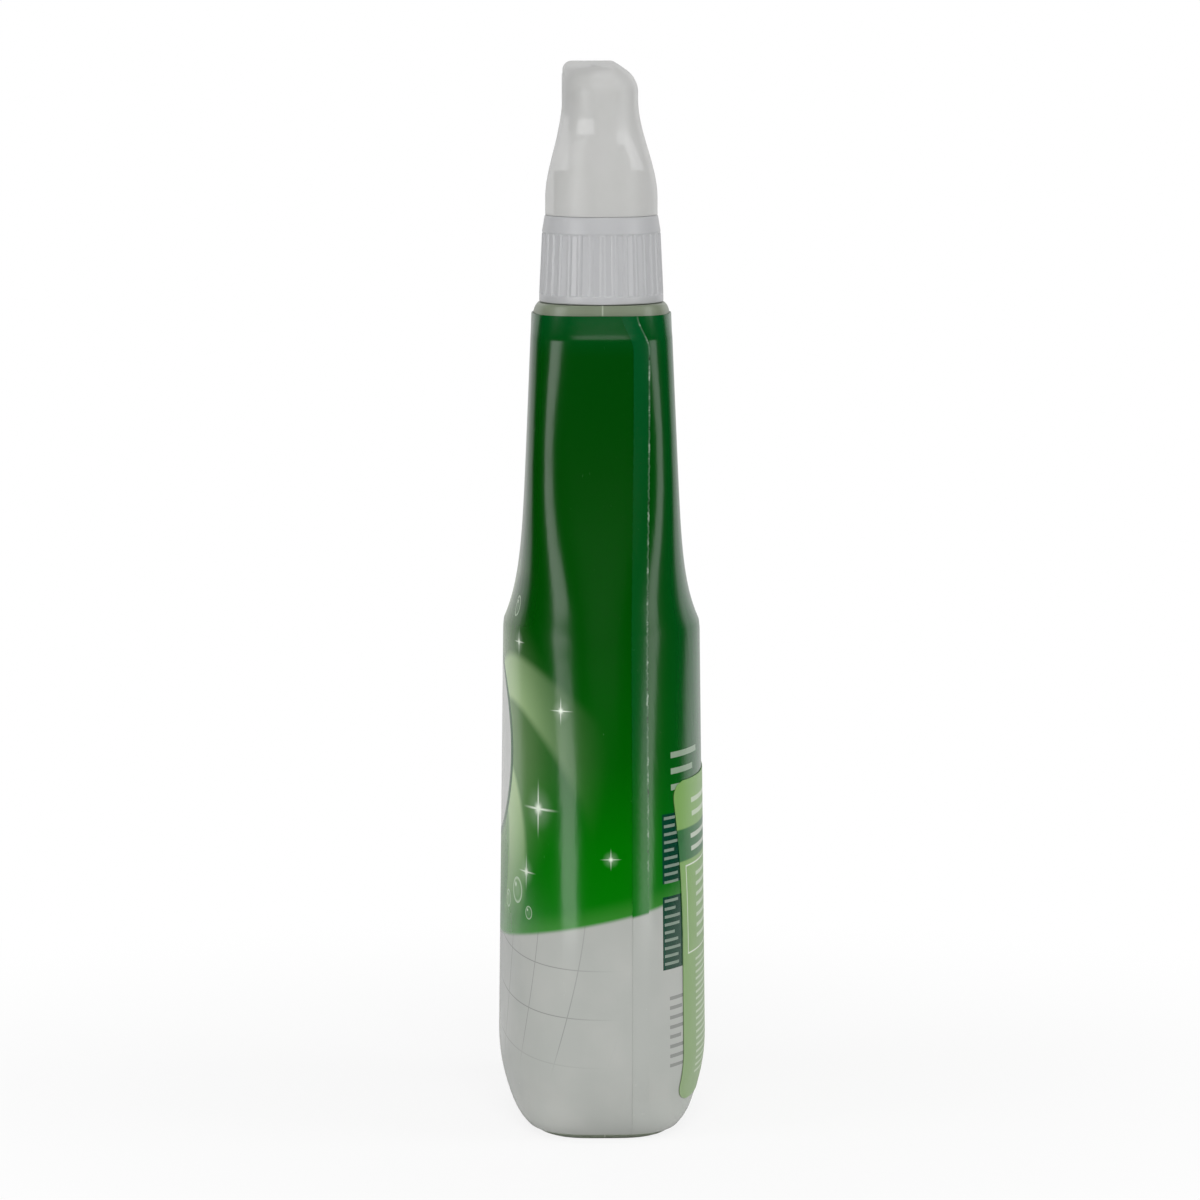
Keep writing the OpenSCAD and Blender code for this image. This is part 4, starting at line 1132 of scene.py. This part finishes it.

# %% [markdown]
# The overlap has the same green, a little bluer where two layers lie on each other. Its glued edge is
# uneven, and short bright and dark flecks along it are painted highlight and painted shade on that edge.

# %% The overlap's material
overlap_film, lap, surface = new_material("overlapped_film")
lu, lv, _ = lap.split(lap.flat_map())
lap_stops = [
    (0.0, (0.0, 0.165, 0.002)), (0.296, (0.0, 0.15, 0.002)), (0.40, (0.0, 0.11, 0.003)),
    (0.50, (0.0005, 0.08, 0.009)), (0.75, (0.0005, 0.068, 0.008)), (1.0, (0.0005, 0.078, 0.018)),
]
lap_green = lap.ramp(lap.over(lv, print_h), lap_stops)
dash = lap.noise(lap.join(0.0, lv, 0.0), 210.0, 4.0, 0.62)
edge_share = lap.step(lu, 0.0038, 0.0042)
lap_height = lap.times(lap.step(lv, 0.055, 0.09), edge_share)
# Painted highlight and painted shade: bright and dark flecks along the glued edge
painted_edge_highlight = lap.times(lap.step(dash, 0.5, 0.64, 0.16, 0.8), lap_height)
painted_edge_shade = lap.times(lap.step(dash, 0.43, 0.36, 0.0, 0.8), lap_height)
lap_edge = sweep_edge(lap, lap.plus(lu, 0.0075), 0.0588)
lap_pale = lap.step(lap.minus(lap_edge, lv), -0.0005, 0.0005)
lap_base = lap.blend(lap_pale, lap_green, (0.42, 0.435, 0.41))
lap_colour = lap.blend(painted_edge_highlight, lap_base, (0.34, 0.44, 0.34))
lap_colour = lap.blend(painted_edge_shade, lap_colour, (0.0, 0.02, 0.0))
lap.put(surface.inputs["Base Color"], lap_colour)
lap_rough = lap.noise(lap.place(), 700.0, 3.0)
lap.emboss(surface, lap_rough, 0.08)
lap.put(surface.inputs["Roughness"], lap.plus(lap.times(lap_rough, 0.1), 0.2))
dress(strip, overlap_film)

# %% The sticker's material
sticker_film, tag, surface = new_material("printed_sticker_film")
tag_flat = tag.flat_map()
su, sv, _ = tag.split(tag_flat)
tag_colour = tag.blend(tag.step(sv, 0.0, 0.086), (0.24, 0.36, 0.16), (0.20, 0.38, 0.10))
band = tag.times(tag.step(sv, 0.0645, 0.065), tag.step(sv, 0.0735, 0.073))
tag_colour = tag.blend(band, tag_colour, (0.015, 0.14, 0.03))
for low, high, pitch, ink in (
    ((0.004, 0.0745), (0.072, 0.082), 0.0036, (0.62, 0.70, 0.56)),
    ((0.004, 0.0655), (0.05, 0.0725), 0.0034, (0.66, 0.70, 0.60)),
    ((0.006, 0.042), (0.07, 0.0615), 0.0028, (0.60, 0.68, 0.54)),
    ((0.004, 0.006), (0.072, 0.038), 0.0018, (0.56, 0.64, 0.50)),
):
    _, lines = place_bars(tag, tag_flat, low, high, pitch)
    tag_colour = tag.blend(tag.times(lines, 0.75), tag_colour, ink)
side_gap = tag.math("MINIMUM", su, tag.minus(sticker_w * MM, su))
end_gap = tag.math("MINIMUM", tag.minus(sv, 0.0395), tag.minus(0.0635, sv))
frame_gap = tag.math("MINIMUM", tag.minus(side_gap, 0.003), end_gap)
outline = tag.times(tag.step(frame_gap, 0.0, 0.00008), tag.step(frame_gap, 0.00048, 0.0004))
tag_colour = tag.blend(outline, tag_colour, (0.66, 0.72, 0.60))
tag.put(surface.inputs["Base Color"], tag_colour)
tag_height = tag.noise(tag.place(), 160.0, 3.0)
tag.emboss(surface, tag_height, 0.2)
tag.put(surface.inputs["Roughness"], tag.plus(tag.times(tag_height, 0.12), 0.26))
dress(sticker, sticker_film)

# %% [markdown]
# The bottle's natural plastic keeps the line where the two halves of its mould met. It runs up the
# rear and the trigger side, and shows in the strip between the sleeve and the collar.

# %% Mould line on the bottle
parting = natural_plastic.node_tree
line_recipe = Recipe(parting)
bottle_surface = next(n for n in parting.nodes if n.type == "BSDF_PRINCIPLED")
old_colour = bottle_surface.inputs["Base Color"].links[0].from_socket
_, from_line, _ = line_recipe.split(line_recipe.place())
on_line = line_recipe.step(line_recipe.math("ABSOLUTE", from_line), 0.00032, 0.00008)
line_share = line_recipe.times(on_line, 0.6)
lined_colour = line_recipe.blend(line_share, old_colour, (0.62, 0.67, 0.56))
line_recipe.put(bottle_surface.inputs["Base Color"], lined_colour)
dress(bottle, natural_plastic)

# %% [markdown]
# ## Studio
#
# Two tall softboxes left and right of the camera give the long highlights at the panel's corners, a
# narrow one high in front gives the short one on the shoulder, and one hangs above. Three more only
# brighten the object and aren't mirrored in it. Behind the bottle everything is white, which the film
# mirrors as pale bands along its outline. In front the room is dark, so the green stays deep.

# %% Softboxes
def softbox(name, place, aim_at, width, height, watts, mirrored=True):
    bpy.ops.object.light_add(type="AREA", location=place)
    lamp = bpy.context.object
    lamp.name = name
    lamp.data.shape = "RECTANGLE"
    lamp.data.size, lamp.data.size_y = width, height
    lamp.data.energy = watts
    lamp.visible_glossy = mirrored
    way = Vector(aim_at) - Vector(place)
    lamp.rotation_mode = "QUATERNION"
    lamp.rotation_quaternion = way.to_track_quat("-Z", "Y")
    return lamp


centre = (0, 0, 0.15)
softbox("left_softbox", (1.03, -1.23, 0.20), (0, 0, 0.20), 0.80, 1.0, 7.2)
softbox("right_softbox", (0.75, 1.41, 0.20), (0, 0, 0.20), 0.62, 1.0, 4.6)
softbox("slot_softbox", (1.30, 0.0, 1.14), (0, 0, 0.21), 0.8, 0.14, 0.8)
softbox("top_softbox", (0.1, 0.0, 1.6), centre, 0.8, 0.8, 5)
softbox("front_fill", (1.45, 0.0, 1.05), centre, 0.8, 0.5, 11, mirrored=False)
softbox("left_fill", (0.7, -1.5, 0.6), centre, 0.8, 1.0, 8, mirrored=False)
softbox("right_fill", (0.4, 1.55, 0.6), centre, 0.8, 1.0, 11, mirrored=False)

# %% White room behind, darker in front
world = bpy.data.worlds.new("studio")
world.use_nodes = True
scene.world = world
room = Recipe(world.node_tree)
world.node_tree.nodes.clear()
way_x, _, _ = room.split(room.node("ShaderNodeTexCoord").outputs["Generated"])
behind = room.step(way_x, -0.54, -0.7, 0.004, 0.7)
light_path = room.node("ShaderNodeLightPath")
strength = room.math("MAXIMUM", light_path.outputs["Is Camera Ray"], behind)
shine = room.node("ShaderNodeBackground", Color=(1.0, 1.0, 1.0), Strength=strength)
room.put(room.node("ShaderNodeOutputWorld").inputs["Surface"], shine.outputs[0])

# %% Pale floor that keeps the shadow
bpy.ops.mesh.primitive_circle_add(vertices=96, radius=0.5, fill_type="NGON", location=(0, 0, 0))
floor = bpy.context.object
floor.name = "studio_floor"
floor_material = bpy.data.materials.new("pale_floor")
floor_material.use_nodes = True
floor_material.node_tree.nodes.clear()
ground = Recipe(floor_material.node_tree)
matt = ground.node("ShaderNodeBsdfDiffuse", Color=(0.9, 0.9, 0.9))
white = ground.node("ShaderNodeEmission", Color=(1, 1, 1), Strength=1.0)
seen = ground.node("ShaderNodeLightPath").outputs["Is Camera Ray"]
mixed = ground.node("ShaderNodeMixShader")
floor_x, floor_y, _ = ground.split(ground.place())
from_middle = ground.far(floor_x, floor_y)
white_share = ground.step(from_middle, 0.05, 0.32, 0.86, 1.0)
ground.put(mixed.inputs[0], ground.times(seen, white_share))
ground.put(mixed.inputs[1], matt.outputs[0])
ground.put(mixed.inputs[2], white.outputs[0])
ground.put(ground.node("ShaderNodeOutputMaterial").inputs["Surface"], mixed.outputs[0])
dress(floor, floor_material)
